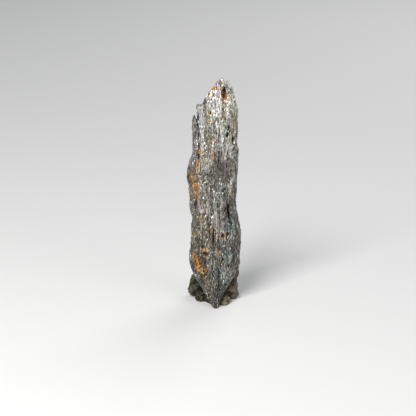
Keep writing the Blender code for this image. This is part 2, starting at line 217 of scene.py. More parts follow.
# Rust in the seams and pits.
RUST = {
    "peak edge": (-1.1, 94.7, 1.2, 0.55, 1.0, 0.3),
    "crest": (-3.3, 92.2, 0.55, 0.9, 1.0, 0.2),
    "foot of the slot": (3.5, 90.9, 0.8, 0.8, 1.0),
    "inside the slot": (2.8, 92.5, 0.85, 2.0, 0.85),
    "under the crest": (-2.4, 84.3, 0.6, 0.7, 0.9),
    "speck below it": (-2.6, 80.6, 0.4, 0.9, 0.55),
    "upper streak": (-1.8, 72.2, 0.4, 1.9, 0.85),
    "second streak": (-1.2, 65.8, 0.4, 1.7, 0.8, -0.1),
    "upper left seam": (-6.3, 67.0, 0.55, 1.3, 0.75),
    "left seam top": (-7.3, 61.9, 0.5, 1.9, 0.95, 0.05),
    "left outer patch": (-9.9, 55.5, 0.6, 2.1, 0.85),
    "left seam patch": (-7.8, 51.6, 1.1, 2.3, 1.1),
    "left seam foot": (-7.4, 47.1, 0.55, 2.3, 0.95, -0.05),
    "right speck": (9.0, 51.3, 0.4, 0.5, 0.55),
    "left brown hollow": (-7.8, 42.4, 0.7, 1.2, 0.1),
    "left spot": (-6.3, 37.9, 0.6, 0.9, 0.85),
    "left lower spot": (-7.5, 30.4, 1.0, 0.8, 0.8),
    "left small spot": (-7.5, 26.0, 0.5, 0.8, 0.95),
    "tail above the patch": (-7.9, 20.9, 0.45, 1.6, 0.7, -0.1),
    "big lower patch": (-6.3, 17.3, 1.4, 3.1, 1.1, -0.3),
    "pits left of middle": (-3.6, 23.9, 0.75, 2.6, 0.7, -0.25),
    "lower middle spot": (-2.6, 16.4, 0.65, 1.2, 0.85),
    "lower middle streak": (-2.8, 12.5, 0.4, 4.0, 0.42),
    "crack top": (-0.1, 34.0, 0.4, 0.9, 0.7),
    "crack": (0.3, 29.8, 0.26, 3.0, 0.5),
    "right pit": (4.6, 30.6, 0.9, 1.0, 0.85),
    "right dark pit": (6.7, 31.4, 0.7, 0.7, 0.5),
    "right faint": (3.5, 23.5, 0.8, 1.1, 0.34),
    "right low pit": (4.5, 19.1, 0.7, 0.6, 0.95),
    "pale streak": (-6.1, 60.2, 0.4, 2.2, 0.45),
    "thin streak": (-8.0, 56.8, 0.35, 2.9, 0.6),
    "brown streak": (-4.2, 56.7, 0.35, 2.0, 0.35),
}
BACK_RUST = {
    "back seam": (2.4, 48.0, 0.6, 7.0, 0.9, 0.03),
    "back upper seam": (-1.6, 72.0, 0.5, 4.0, 0.8),
    "back patch": (-6.2, 34.0, 1.2, 2.6, 0.9, 0.1),
    "back low patch": (5.6, 27.0, 1.4, 2.0, 1.0, -0.2),
    "back crest": (-5.2, 80.0, 0.9, 1.4, 0.8),
    "back foot": (0.5, 20.0, 2.0, 1.3, 0.6),
    "back thin seam": (5.8, 63.0, 0.35, 6.0, 0.8, -0.02),
    "back edge spots": (8.6, 47.0, 0.6, 1.4, 0.8),
    "back pit": (-1.8, 29.0, 0.7, 0.9, 0.9),
}
# How bright the ore is at each height, in doublings: partly the ore's own tone and partly painted light, lighter
# towards the top. Then places brighter or darker than the rest of their height: tone, painted glints and bright
# bands, and painted shade in the crease, gaps, pits and along dark edges.
SHADE = [
    (0.0, -0.77), (8.0, -0.57), (25.0, -0.32), (45.0, 0.03), (60.0, 0.28), (75.0, 0.93), (90.0, 1.23),
    (100.0, 1.08),
]
SHADES = {
    "bright band left of the slot": (0.1, 89.0, 1.9, 6.7, 0.75),
    "bright middle band": (0.9, 78.4, 2.1, 10.7, 0.5),
    "pale lath right of the slot": (5.5, 87.7, 0.8, 3.2, 0.7),
    "cream laths": (5.4, 84.4, 2.1, 5.8, 0.35),
    "left shoulder": (-6.2, 80.9, 1.9, 6.5, 0.6),
    "flank of the crest": (-4.6, 89.5, 1.1, 3.4, -0.9, 0.2),
    "right flank under the top": (8.0, 77.9, 1.5, 5.9, -0.3),
    "grey patch under the crest": (-3.5, 75.3, 1.5, 2.7, -0.3),
    "pale right of the middle": (5.9, 66.9, 3.0, 4.0, 0.7),
    "hollow": (3.6, 58.3, 3.2, 5.2, -0.75),
    "above the hollow": (2.2, 65.0, 1.4, 3.2, -0.6),
    "left of the hollow": (-4.7, 65.6, 3.4, 4.5, 0.05),
    "ridge beside the seam": (-6.1, 55.1, 1.3, 9.0, 0.3),
    "rib right of the hollow": (7.1, 52.0, 0.9, 5.0, 0.6),
    "right edge of the hollow": (9.1, 48.9, 0.9, 6.4, -0.65),
    "pale ridge under the hollow": (-4.1, 44.5, 2.6, 5.4, 0.5),
    "middle": (1.1, 43.4, 2.8, 10.4, 0.4),
    "crease": (6.5, 42.0, 0.5, 2.2, -1.4, -0.2),
    "foot of the crease": (7.0, 36.0, 1.3, 2.3, -0.6),
    "pale lath left of the middle": (-4.5, 36.3, 1.0, 4.1, 0.4),
    "left edge beside the seam": (-10.6, 51.0, 1.0, 5.5, -0.65),
    "pale left edge": (-9.3, 38.3, 0.9, 3.2, 0.5),
    "pale lath above the crack": (1.7, 35.6, 1.3, 4.1, 0.4),
    "right of the crack": (3.0, 29.3, 2.0, 3.2, 0.3),
    "bevel beside the toe": (-6.1, 13.0, 0.75, 6.0, 0.75, -0.39),
    "lath right of the middle": (5.0, 14.4, 0.9, 5.0, 0.45),
    "dark line at the toe": (2.5, 9.5, 0.7, 5.5, -0.6),
    "pale laths left of the toe": (-1.6, 8.5, 1.3, 4.4, 0.8, -0.2),
    "right of the keel": (7.9, 11.9, 1.5, 6.0, 0.5),
    "tip of the toe": (1.8, 2.2, 2.0, 1.8, -0.9),
    "middle crack": (0.3, 30.3, 0.25, 3.8, -1.0),
    "pale lath on the second prong": (5.0, 93.7, 0.55, 4.0, 0.35),
    "dark line beside the bevel": (-7.0, 13.2, 0.6, 5.0, -0.7, -0.39),
    "dark line inside the bevel": (-4.7, 13.0, 0.5, 4.5, -0.7, -0.39),
    "middle of the low face": (0.4, 21.0, 1.2, 7.0, 0.2),
    "glint on the rib": (7.5, 54.6, 0.4, 1.4, 2.2, 0.3),
    "lower glint on the rib": (6.7, 50.4, 0.5, 2.2, 2.3, 0.1),
    "flank right of the crease": (8.8, 40.0, 1.2, 5.0, 0.35),
    "pale lath over the ridge": (-3.8, 46.2, 0.6, 2.4, 0.7),
    "pale lath right of the seam": (-5.6, 53.5, 0.5, 6.0, 0.6, -0.05),
    "pale lath on the low left": (-5.2, 30.0, 0.5, 6.0, 0.5),
    "pale lath right of the low middle": (6.0, 24.5, 0.45, 4.0, 0.5),
    "dark line in the low middle": (3.1, 21.5, 0.4, 7.0, -0.5),
    "dark line left of the ridge": (-2.0, 56.0, 0.5, 4.5, -0.5),
    "pale left flank": (-7.9, 25.5, 1.4, 5.5, 0.35),
    "foot of the crease's line": (7.1, 39.0, 0.5, 3.0, -1.5, -0.23),
    "dark line under the slot": (3.2, 84.3, 0.5, 3.4, -1.1, -0.10),
    "bright band beside it": (1.7, 87.1, 0.7, 4.0, 0.5),
    "thin crack over the hollow": (4.2, 69.5, 0.24, 4.5, -1.0),
    "left strip": (-8.7, 60.2, 1.0, 4.1, 0.15),
    "low left": (-4.1, 36.1, 1.5, 3.6, 0.4),
    "left edge over the patch": (-8.5, 35.8, 0.7, 2.3, 0.35),
    "right edge of the toe": (6.9, 9.6, 0.9, 2.8, 0.5, -0.3),
    "left splinter": (-9.3, 80.9, 0.8, 2.3, -0.8),
    "pit in the upper seam": (-7.2, 64.8, 0.6, 1.3, -2.2),
    "gap beside the shoulder": (-8.3, 80.0, 0.5, 3.6, -1.0),
    "pale lath right of the toe": (5.1, 8.4, 0.8, 4.0, 0.5),
    "low right flank": (8.6, 24.6, 0.9, 2.3, 0.4),
    "lath over the left spots": (-4.7, 32.8, 1.3, 2.5, 0.75),
    "left shore of the hollow": (-0.3, 62.3, 1.2, 1.8, 0.8),
    "right shore of the hollow": (8.7, 61.6, 0.9, 2.0, 0.6),
    "dark band over the toe": (-2.1, 18.4, 1.3, 2.3, -0.35),
    "under the rim of the crest": (-3.5, 91.8, 0.8, 1.3, -0.45),
    "foot of the bright band": (1.6, 82.7, 0.8, 2.9, 0.4),
    "edge of the notch": (8.8, 71.9, 0.9, 2.0, -0.6),
    "lath under the middle": (1.5, 44.0, 0.9, 2.9, 0.35),
    "left of the toe": (-2.8, 12.2, 0.9, 3.0, -0.3),
    "dark nick in the tip": (1.4, 97.0, 0.5, 1.0, -1.2),
    "left edge over the bevel": (-8.5, 18.4, 0.9, 3.2, -0.85),
    "beside the foot of the crack": (0.9, 24.5, 1.2, 2.2, 0.35),
    "left edge under the seam": (-8.8, 27.0, 0.9, 4.5, 0.35),
    "right edge beside the crease": (9.9, 42.4, 0.8, 1.7, -0.9),
    "left of the bright band": (-1.3, 89.5, 0.9, 1.8, 0.35),
    "gap under the left seam": (-8.0, 43.0, 0.6, 2.0, -2.0, 0.3),
}
# The same on the back: tone, with painted shade in the valley, the recess and under the top.
BACK_SHADES = {
    "pale rib": (-3.2, 64.0, 1.8, 14.0, 0.7, 0.03),
    "pale ledge": (5.2, 76.0, 1.6, 8.0, 0.6),
    "dark valley": (2.4, 47.0, 1.6, 12.0, -0.8, 0.03),
    "dark recess": (-7.4, 46.0, 1.6, 6.0, -0.6),
    "low rib": (-4.4, 24.0, 1.3, 7.0, 0.6, 0.05),
    "low flank": (7.6, 34.0, 1.6, 8.0, 0.5),
    "shade under the top": (-5.8, 80.0, 2.0, 4.0, -0.5),
    "pale spot over the putty": (1.6, 17.0, 1.8, 2.4, 0.4),
}
# Where the grey turns to tan (above 0) or to blue (below 0).
TINTS = {
    "cream upper right": (5.1, 89.1, 3.2, 7.2, 0.5),
    "tan under the crest": (-3.1, 83.5, 1.3, 3.1, 0.5),
    "blue shoulder": (-6.2, 82.0, 1.9, 5.8, -0.6),
    "tan left band": (-3.8, 40.5, 2.0, 22.0, 0.4),
    "blue below the hollow": (2.1, 51.7, 3.0, 4.5, -0.5),
    "blue right flank": (8.3, 31.8, 3.4, 13.0, -0.4),
    "blue keel": (3.6, 11.2, 2.0, 8.7, -0.4),
    "tan lower left": (-3.5, 21.7, 2.2, 7.3, 0.6),
    "tan lower right": (10.9, 14.0, 1.1, 4.1, 0.7),
    "bevel beside the toe": (-5.4, 12.1, 0.6, 6.4, -1.0, -0.39),
    "brown hollow": (3.5, 61.8, 3.9, 3.6, 0.5),
    "tan middle": (0.0, 36.0, 3.0, 6.0, 0.3),
    "tan toe": (-0.9, 8.0, 1.6, 5.0, 0.6),
    "cool crest": (-3.1, 91.0, 2.6, 4.0, -0.5),
    "cool right of the middle": (4.4, 73.0, 2.2, 7.0, -0.3),
    "warm left edge": (-9.0, 47.4, 1.7, 3.6, 0.4),
}
# The iridescent film: where it turns purple (above 0) or green (below 0).
SHEENS = {
    "purple at the peak's edge": (-0.4, 95.2, 1.3, 2.4, 1.2),
    "purple beside the slot": (-0.7, 88.2, 1.3, 2.7, 0.5),
    "purple hollow": (5.7, 61.1, 2.4, 4.2, 0.7),
    "purple left of the hollow": (0.1, 60.6, 3.0, 2.3, 0.5),
    "purple under the seam": (-7.1, 43.2, 0.9, 1.8, 0.8),
    "purple lower right": (8.8, 24.2, 1.5, 2.7, 0.6),
    "purple low middle": (0.5, 13.5, 1.5, 6.4, 0.4),
    "green crease": (7.2, 36.5, 1.7, 4.5, -0.5),
    "green right flank": (7.3, 24.8, 3.0, 5.9, -0.4),
    "green toe": (3.6, 9.9, 2.8, 7.3, -0.7),
    "green left flank": (-6.2, 27.0, 2.2, 3.2, -0.5),
    "plain grey middle": (0.8, 38.0, 3.6, 9.0, -0.25),
}
BACK_SHEENS = {
    "purple beside the valley": (4.6, 52.0, 2.0, 8.0, 1.0, 0.03),
    "green rib": (-3.0, 40.0, 1.8, 7.0, -0.9),
    "purple top": (-1.0, 84.0, 3.0, 3.0, 0.8),
    "green low flank": (6.5, 20.0, 2.2, 4.0, -0.8),
}
# Smoother places: the strength is how much of the fine relief is taken off.
SMOOTHED = {
    "hollow": (3.0, 60.0, 4.0, 6.0, 0.6),
    "bevel beside the toe": (-5.8, 13.0, 0.9, 7.0, 0.8, -0.39),
    "left shoulder": (-6.2, 82.0, 1.9, 5.5, 0.85),
    "plate on the right": (8.0, 79.0, 1.4, 4.0, 0.6),
}
# Foot and tip of each splinter that stands off the blade, and its half width and half thickness.
SPLINTERS = [
    ((-8.0, 4.0, 58.0), (-8.8, 3.8, 81.2), 1.35, 2.6),
    ((-4.6, 7.8, 56.0), (-5.6, 8.8, 84.4), 2.6, 1.3),
    ((4.6, 7.8, 20.0), (3.4, 9.8, 50.0), 2.7, 1.2),
]
# A splinter's girth along its length, each from 0 to 1.
SPLINTER_SHAPE = [(0.0, 0.4), (0.15, 0.9), (0.4, 1.0), (0.6, 0.92), (0.8, 0.85), (0.93, 0.7), (1.0, 0.3)]
# Laths on a splinter: side by side, end to end, tilt, how far they swell it, and the strength of their tone.
SPLINTER_LATHS = [(11, 6, 0.6, 0.22, 0.8), (24, 16, 0.9, 0.14, 0.7)]
# How square its section is, how jagged its tip, how much darker it is, how far its tip leans, and a seed.
SPLINTER_CORNERS = 0.7
SPLINTER_JAGS = 1.2
SPLINTER_SHADE = -0.7
LEAN_TO_TIP = 0.8
SPLINTER_SEED = 70
# Ends of laths along the rim: how many, how far down and up they go, and a seed; then the places on the rim that
# keep to the drawing: x, half width, how square a place is, and how much of the ends it takes off.
RIM_ENDS = (60, -1.1, 0.33, 21)
FINE_RIM_ENDS = (143, -0.5, 0.25, 23)
CALM_RIM = [(1.9, 1.3, 2, 0.6), (-6.9, 2.6, 4, 0.95)]
# Ends of fibres in the broken top: how many, how far down and up they go, how much lower they all are, and how
# far in the last ring of points lies.
CAP_ENDS = (260, -1.3, 0.25)
CAP_SUNK = 0.2
CAP_REACH = 0.96
# What is left of each mask's value at the rim on the broken top.
CAP_SHARES = {"hollow": 0.0, "rust": 0.12, "tone": 0.4, "shade": 1.0, "tint": 1.0, "sheen": 1.0, "calm": 0.0}

COLUMNS = 352
ROWS = 248
CAP_RINGS = 9
SPLINTER_COLUMNS = 48
SPLINTER_ROWS = 64

# ---------------------------------------------------------------- sums that the surfaces share


def smooth(t):
    """A smoothstep from 0 to 1."""
    t = np.clip(t, 0.0, 1.0)
    return t * t * (3.0 - 2.0 * t)


def read_off(table, at):
    """The table's second column at these values of its first, in straight lines between its rows."""
    return np.interp(at, *np.transpose(table))


def noise(around, along, *rows):
    """The sum of noises, each from random values between -1 and 1 on a lattice that closes on itself around the
    piece, joined by smoothsteps. Each row is how strong one is, its cells round and up, and its seed."""
    total = 0.0
    for strength, cells_around, cells_along, seed in rows:
        values = np.random.RandomState(seed).uniform(-1.0, 1.0, (cells_around, cells_along + 2))
        a, b = (around % 1.0) * cells_around, np.clip(along, 0.0, 1.0) * cells_along
        i, j = np.floor(a).astype(int), np.floor(b).astype(int)
        across, up = smooth(a - i), smooth(b - j)
        left, right = i % cells_around, (i + 1) % cells_around
        low, high = (values[left, k] * (1 - across) + values[right, k] * across for k in (j, j + 1))
        total = total + strength * (low * (1 - up) + high * up)
    return total


def lath_field(around, along, strips, breaks, seed, tilt):
    """Height and tone of laths that lie side by side and end to end. Each has a random height from -1 to 1,
    and a plane tilted at random across and along it is added; steep smoothsteps join it to its neighbours."""
    random = np.random.RandomState(seed)
    values = random.uniform(-1.0, 1.0, (strips, breaks + 4))
    phase, slant = random.uniform(1.0, 2.0, strips), random.uniform(-LATH_SLANT, LATH_SLANT, strips)
    lean_across, lean_along, tones = random.uniform(-1.0, 1.0, (3, strips, breaks + 4))
    a = (around % 1.0) * strips
    strip = np.floor(a).astype(int)
    aside = a - strip

    def of_strip(k, off_middle):
        b = np.clip(along, 0.0, 1.0) * breaks + phase[k] + slant[k] * (aside - 0.5)
        j = np.floor(b).astype(int)
        part = b - j
        up = smooth((part - 0.5) * LATH_ENDS + 0.5)
        low, high = (
            values[k, n] + tilt * (lean_across[k, n] * off_middle + TILT_ALONG * lean_along[k, n] * off_end)
            for n, off_end in ((j, part), (j + 1, part - 1.0))
        )
        return low * (1 - up) + high * up, tones[k, j] * (1 - up) + tones[k, j + 1] * up

    across = smooth((aside - 0.5) * LATH_SIDES + 0.5)
    here, next_one = of_strip(strip % strips, aside), of_strip((strip + 1) % strips, aside - 1.0)
    return tuple(h * (1 - across) + n * across for h, n in zip(here, next_one))


def bells(x, height, table):
    """The sum of a table's bells: each fades as exp(-u^2 - v^2), u and v counted in half widths and lengths."""
    total = np.zeros_like(x)
    for place_x, place_z, half_width, half_length, strength, *lean in table.values():
        up = height - place_z
        aside = x - place_x - sum(lean) * up
        total += strength * np.exp(-((aside / half_width) ** 2) - (up / half_length) ** 2)
    return total


def front_share(deep):
    """1 on the front and 0 on the back, with a smoothstep between them."""
    return smooth(0.5 - deep * 1.5)


def two_sided(x, height, front, front_table, back_table):
    """One table's bells on the front and another's on the back."""
    return bells(x, height, front_table) * front + bells(x, height, back_table) * (1 - front)


def section_outline(columns):
    """Points across and deep on the blade's section, evenly spaced, with its arrises a little worn."""
    corners = np.array(SECTION)
    sides = np.linalg.norm(np.diff(corners, axis=0) * SECTION_SIZE, axis=1)
    run = np.r_[0.0, np.cumsum(sides)]
    at = np.arange(columns) / columns * run[-1]
    across, deep = np.interp(at, run, corners[:, 0]), np.interp(at, run, corners[:, 1])
    bow = 1 / np.hypot(across, deep)
    return across + (across * bow - across) * ROUNDED, deep + (deep * bow - deep) * ROUNDED


def section_sides(height, notched):
    """The core line's x, the widths left and right of it, and the y of the front and of the back."""
    core_x = read_off(CORE_LINE, height)
    left, right = core_x - read_off(LEFT_EDGE, notched), read_off(RIGHT_EDGE, notched) - core_x
    return core_x, left, right, read_off(FRONT_FACE, height), read_off(BACK_FACE, height)


def section_point(across, deep, height):
    """x and y on the plain section at this height."""
    notched = height + SKEW * deep * smooth(height / TOE_HEIGHT)
    core_x, left, right, front, back = section_sides(height, notched)
    x = core_x + np.where(across < 0, left, right) * across
    return x, (front + back) / 2 + (back - front) / 2 * deep


def top_height(x, deep):
    """The broken top's height: highest along the front, and falling to the back. The shoulder on the left is
    level further back."""
    level = SHOULDER_LEVEL * smooth((SHOULDER_X - x) / SHOULDER_FADE)
    return read_off(BROKEN_TOP, x) - BACK_DROP * smooth((deep + 1.0 - level) / (2.0 - level))


def pit_depth(x, height, ragged):
    """How deep the pits go here. Each is its depth x smoothstep(1.25 - r^2), with r counted in half widths and
    lengths and made ragged by noise, and the deepest counts."""
    depth = np.zeros_like(x)
    for place_x, place_z, half_width, half_length, deepest in PITS.values():
        away = ((x - place_x) / half_width) ** 2 + ((height - place_z) / half_length) ** 2 + PIT_RAGGED * ragged
        depth = np.maximum(depth, deepest * smooth(1.25 - away))
    return depth


def blur(values, across, up):
    """A box mean over 2 across + 1 columns, which close on themselves, and 2 up + 1 rows."""
    wide = np.concatenate([values[:, -across:], values, values[:, :across]], axis=1)
    total = np.cumsum(np.pad(wide, ((0, 0), (1, 0))), axis=1)
    mean = (total[:, 2 * across + 1 :] - total[:, : -2 * across - 1]) / (2 * across + 1)
    tall = np.pad(mean, ((up + 1, up), (0, 0)), mode="edge")
    total = np.cumsum(tall, axis=0)
    return (total[2 * up + 1 :] - total[: -2 * up - 1]) / (2 * up + 1)


def blade_relief(x, height, around, across, deep, fineness):
    """How far the skin stands out from the plain section, the laths' tone, and how deep the pits and cracks
    are. The skin is the sum of the broad forms, the ledges, the fine laths and a grain, less the cracks
    between laths, the rusty places and the pits."""
    front, along = front_share(deep), height / HEIGHT
    width = read_off(RIGHT_EDGE, height) - read_off(LEFT_EDGE, height)
    middle = np.where(around < 0.5, 0.25, 0.75)
    lath_at = middle + (around - middle) * np.minimum(width / FULL_WIDTH, 1.0) ** NARROWING
    lath_at = lath_at + noise(around, along, *WANDER)
    calm = 1 - EDGE_CALM * smooth((np.abs(across) - 0.8) * 5)
    lively = LIVELY + noise(around, along, LIVELY_NOISE)
    lively = lively * np.clip(1 - bells(x, height, SMOOTHED) * front, LEAST_LIVELY, 1.0)
    out, tone = two_sided(x, height, front, FRONT_FORMS, BACK_FORMS) - SUNK, np.zeros_like(x)
    for strips, breaks, stand_off, seed, tilt in LEDGES:
        out = out + calm * stand_off / 2 * lath_field(lath_at, along, strips, breaks, seed, tilt)[0]
    for strips, breaks, stand_off, seed, tilt, strength in FINE_LATHS:
        lath_height, lath_tone = lath_field(lath_at, along, strips, breaks, seed, tilt)
        out = out + lively * fineness * stand_off / 2 * lath_height
        tone = tone + lath_tone * strength
    out = (out + SUNK) * smooth(height / TOE_CALM) - SUNK
    above_foot = smooth(height / CRACK_START)
    gaps = np.abs((lath_at * CRACK_PLACES + noise(around, along, CRACK_BENDS)) % 1.0 - 0.5) / CRACK_WIDTH
    cracks = np.exp(-(gaps**2)) * smooth(noise(around, along, CRACK_NOISE) - CRACK_LEAST) * above_foot
    out = out - CRACK_DEPTH * cracks + fineness * noise(around, along, GRAIN_NOISE)
    ragged = noise(around, along, RAGGED_NOISE)
    out = out - RUST_DEPTH * np.clip(bells(x, height, RUST) + RUST_RAGGED * ragged, 0.0, 1.0) * front
    specks = smooth(noise(around, along, SPECK_NOISE) - SPECK_LEAST)
    pits = pit_depth(x, height, ragged) * front + SPECK_DEPTH * specks * above_foot
    return out - pits, tone, pits + CRACK_SHADE * cracks


def rim_height(rim_x, deep, around):
    """The rim of the broken top: the drawn top, and on it two rows of lath ends at random heights."""
    count, lowest, highest, seed = RIM_ENDS
    ends = np.random.RandomState(seed).uniform(lowest, highest, count)[np.round(around * count).astype(int) % count]
    count, lowest, highest, seed = FINE_RIM_ENDS
    finer = np.random.RandomState(seed).uniform(lowest, highest, count)[np.floor(around * count).astype(int)]
    calm = sum(share * np.exp(-(((rim_x - x) / half_width) ** power)) for x, half_width, power, share in CALM_RIM)
    return top_height(rim_x, deep) + (1 - calm) * (ends + finer)


def blade_skin(fineness):
    """The blade's skin as rows of points, and the masks that its material reads. Row by row: a section drawn
    between the two edges and the two faces, moved out along its own normal by the relief."""
    across, deep = section_outline(COLUMNS)
    around = np.arange(COLUMNS) / COLUMNS
    rim_x, _ = section_point(across, deep, np.full(COLUMNS, 0.9 * HEIGHT))
    share = np.linspace(0.0, 1.0, ROWS)[:, None]
    height = FOOT + (rim_height(rim_x, deep, around) - FOOT) * share
    across, deep, around = (np.broadcast_to(values, height.shape) for values in (across, deep, around))
    x, y = section_point(across, deep, height)
    run_x, run_y = (np.roll(c, -1, axis=1) - np.roll(c, 1, axis=1) for c in (x, y))
    length = np.maximum(np.hypot(run_x, run_y), 1e-6)
    out, tone, pits = blade_relief(x, height, around, across, deep, fineness)
    out = out * (1 - RIM_CALM * smooth((share - 1) / RIM_FADE + 1))
    points = np.stack([x + out * run_y / length, y - out * run_x / length, height], axis=-1)
    front, along, at_x = front_share(deep), height / HEIGHT, points[..., 0]
    facing = front * smooth((RUST_BACK - points[..., 1]) / RUST_FADE)
    masks = {
        # The hollow mask darkens hollows, pits and cracks: partly dark ore, partly painted shade.
        "hollow": np.clip((blur(out, *HOLLOW_REACH) - out) / HOLLOW_DEPTH + pits, 0.0, 1.0),
        "rust": bells(at_x, height, RUST) * facing + bells(at_x, height, BACK_RUST) * (1 - front),
        "tone": tone,
        # Tone together with painted light and shade: lighter towards the top, painted glints, darker pits.
        "shade": read_off(SHADE, height) + two_sided(at_x, height, front, SHADES, BACK_SHADES) - PIT_SHADE * pits
        + noise(around, along, *SHADE_NOISE),
        "tint": bells(at_x, height, TINTS) * front + noise(around, along, TINT_NOISE),
        "sheen": two_sided(at_x, height, front, SHEENS, BACK_SHEENS) + noise(around, along, SHEEN_NOISE),
        "calm": bells(at_x, height, SMOOTHED) * front,
    }
    return points, masks, deep


def splinter_skin(foot, tip, half_width, half_thick, seed):
    """A splinter's rings, with its masks. Its section is a round-cornered flat oval, swept in a straight line from
    foot to tip, scaled by its shape, and laths stand off it."""
    share = np.linspace(0.0, 1.0, SPLINTER_ROWS)[:, None]
    around = np.arange(SPLINTER_COLUMNS)[None] / SPLINTER_COLUMNS
    share, around = np.broadcast_arrays(share, around)
    size = read_off(SPLINTER_SHAPE, share)
    grow, tone, reliefs = 1.0, 0.0, []
    for k, (strips, breaks, tilt, swell, strength) in enumerate(SPLINTER_LATHS):
        relief, lath_tone = lath_field(around, share, strips, breaks, seed + k, tilt)
        grow, tone = grow + swell * relief, tone + strength * lath_tone
        reliefs.append(relief)
    rough, fine = reliefs
    turn = around * 2 * np.pi + np.pi
    side, deep = (
        np.sign(wave) * np.abs(wave) ** SPLINTER_CORNERS * half * size * grow
        for wave, half in ((np.cos(turn), half_width), (np.sin(turn), half_thick))
    )
    lean = -half_width * (1 - size) * LEAN_TO_TIP * (share > 0.5)
    jagged = SPLINTER_JAGS * rough * smooth(share * 8 - 7)
    line = np.array(foot) + (np.array(tip) - foot) * share[..., None]
    points = line + np.stack([side + lean, deep, jagged], axis=-1)
    nothing = np.zeros_like(rough)
    # Its low fine laths are marked hollow, which paints shade between them; its shade takes the blade's painted light
    # by height.
    masks = {
        "hollow": 0.25 * (fine < -0.2), "rust": nothing, "tone": tone,
        "shade": read_off(SHADE, points[..., 2]) + SPLINTER_SHADE, "tint": 0.3 * rough, "sheen": 0.5 * rough,
        "calm": nothing,
    }
    return points, masks


def top_cap(points, deep):
    """Rings from the rim to the middle of the broken top, as ends of fibres: each ring is drawn in towards
    the middle, and its height is the top's, stepped by the nearest of some random points."""
    rim = points[-1]
    middle = rim[:, :2].mean(axis=0)
    random = np.random.RandomState(24)
    count, lowest, highest = CAP_ENDS
    ends = np.stack([random.uniform(-10, 10.5, count), random.uniform(0.0, 10.0, count)], axis=-1)
    drop = random.uniform(lowest, highest, count)
    rings = []
    for share in np.linspace(0.0, CAP_REACH, CAP_RINGS + 1)[1:]:
        ring = rim.copy()
        ring[:, :2] += (middle - rim[:, :2]) * share
        nearest = np.argmin(((ring[:, None, :2] - ends) ** 2).sum(axis=-1), axis=1)
        ring[:, 2] = top_height(ring[:, 0], deep[-1] * (1 - share)) + (drop[nearest] - CAP_SUNK) * smooth(share * 5)
        rings.append(ring)
    return np.array(rings)


def ring_faces(rows, columns):
    """Four corners of each face between rings that close on themselves, wound to face outwards."""
    row, column = np.meshgrid(np.arange(rows - 1), np.arange(columns), indexing="ij")
    low, high, after = row * columns, (row + 1) * columns, (column + 1) % columns
    return np.stack([low + column, low + after, high + after, high + column], axis=-1).reshape(-1, 4)


def make_mesh(name, points, quads, triangles=(), **attributes):
    """A mesh from arrays of points in millimetres and of faces, with a value at each point per attribute."""
    mesh = bpy.data.meshes.new(name)
    triangles = np.array(triangles, dtype=int).reshape(-1, 3)
    mesh.vertices.add(len(points))
    mesh.vertices.foreach_set("co", (points * MM).astype(np.float32).ravel())
    mesh.loops.add(quads.size + triangles.size)
    mesh.loops.foreach_set("vertex_index", np.concatenate([quads.ravel(), triangles.ravel()]).astype(np.int32))
    starts = np.concatenate([np.arange(len(quads)) * 4, quads.size + np.arange(len(triangles)) * 3])
    mesh.polygons.add(len(starts))
    mesh.polygons.foreach_set("loop_start", starts.astype(np.int32))
    mesh.update(calc_edges=True)
    for key, values in attributes.items():
        layer = mesh.attributes.new(key, "FLOAT", "POINT")
        layer.data.foreach_set("value", np.ascontiguousarray(values, dtype=np.float32).ravel())
    if mesh.validate():
        raise RuntimeError(f"{name} had faces that Blender had to mend")
    return mesh


def closed_rings(name, parts):
    """A mesh of closed skins. Each part is its rings of points and its masks, and ends in a fan of triangles to
    a point at its foot and at its tip."""
    points, quads, fans, masks = [], [], [], {}
    first = 0
    for rings, attributes in parts:
        rows, columns = rings.shape[:2]
        points += [rings.reshape(-1, 3), [rings[0].mean(axis=0), rings[-1].mean(axis=0)]]
        here = np.arange(columns)
        after = (here + 1) % columns
        top = (rows - 1) * columns
        low, high = np.full(columns, rows * columns), np.full(columns, rows * columns + 1)
        fans += [first + np.stack([after, here, low], axis=-1)]
        fans += [first + np.stack([top + here, top + after, high], axis=-1)]
        quads += [first + ring_faces(rows, columns)]
        for key, values in attributes.items():
            masks.setdefault(key, []).append(np.r_[values.ravel(), values[0].mean(), values[-1].mean()])
        first += rows * columns + 2
    masks = {key: np.concatenate(values) for key, values in masks.items()}
    mesh = make_mesh(name, np.concatenate(points), np.concatenate(quads), np.concatenate(fans), **masks)
    mesh.shade_smooth()
    return mesh


def add_piece(name, mesh, material, slot, *nodes):
    """A finished piece at the origin: it rides on the one body and stands for these nodes."""
    piece = bpy.data.objects.new(name, mesh)
    bpy.context.scene.collection.objects.link(piece)
    mesh.materials.append(material)
    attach(piece, "root")
    if nodes:
        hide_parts(*nodes)
    return piece


# ---------------------------------------------------------------- loose laths

LATH_SEED = 61
LATH_RINGS = 7
# The skin that they follow is smoothed over this many columns and rows on either side.
BED_REACH = (6, 5)
# A lath's length in rows, from and to; how much longer a few are, by what power; and how many rows at the foot
# and at the rim stay clear.
LATH_LENGTH = (3, 8)
LONG_LATHS = (30, 6)
LATH_MARGIN = 6
# Each of these is from and to: the columns that a lath drifts by, its width, thickness and tilt, and how far it
# and its tip are lifted. Its point lies to one side by this share of its width.
LATH_DRIFT = (-2.0, 2.0)
LATH_WIDTH = (0.2, 0.55)
LATH_THICK = (0.10, 0.24)
LATH_TILT = (-0.45, 0.45)
LATH_LIFT = (-0.06, 0.16)
TIP_LIFT = (0.0, 0.3)
TIP_LEAN = 0.5
# Over pits, which are on the side where y is below this, a lath sinks in, but no deeper than this.
PIT_SIDE = 4.0
DEEPEST_LATH = 1.2
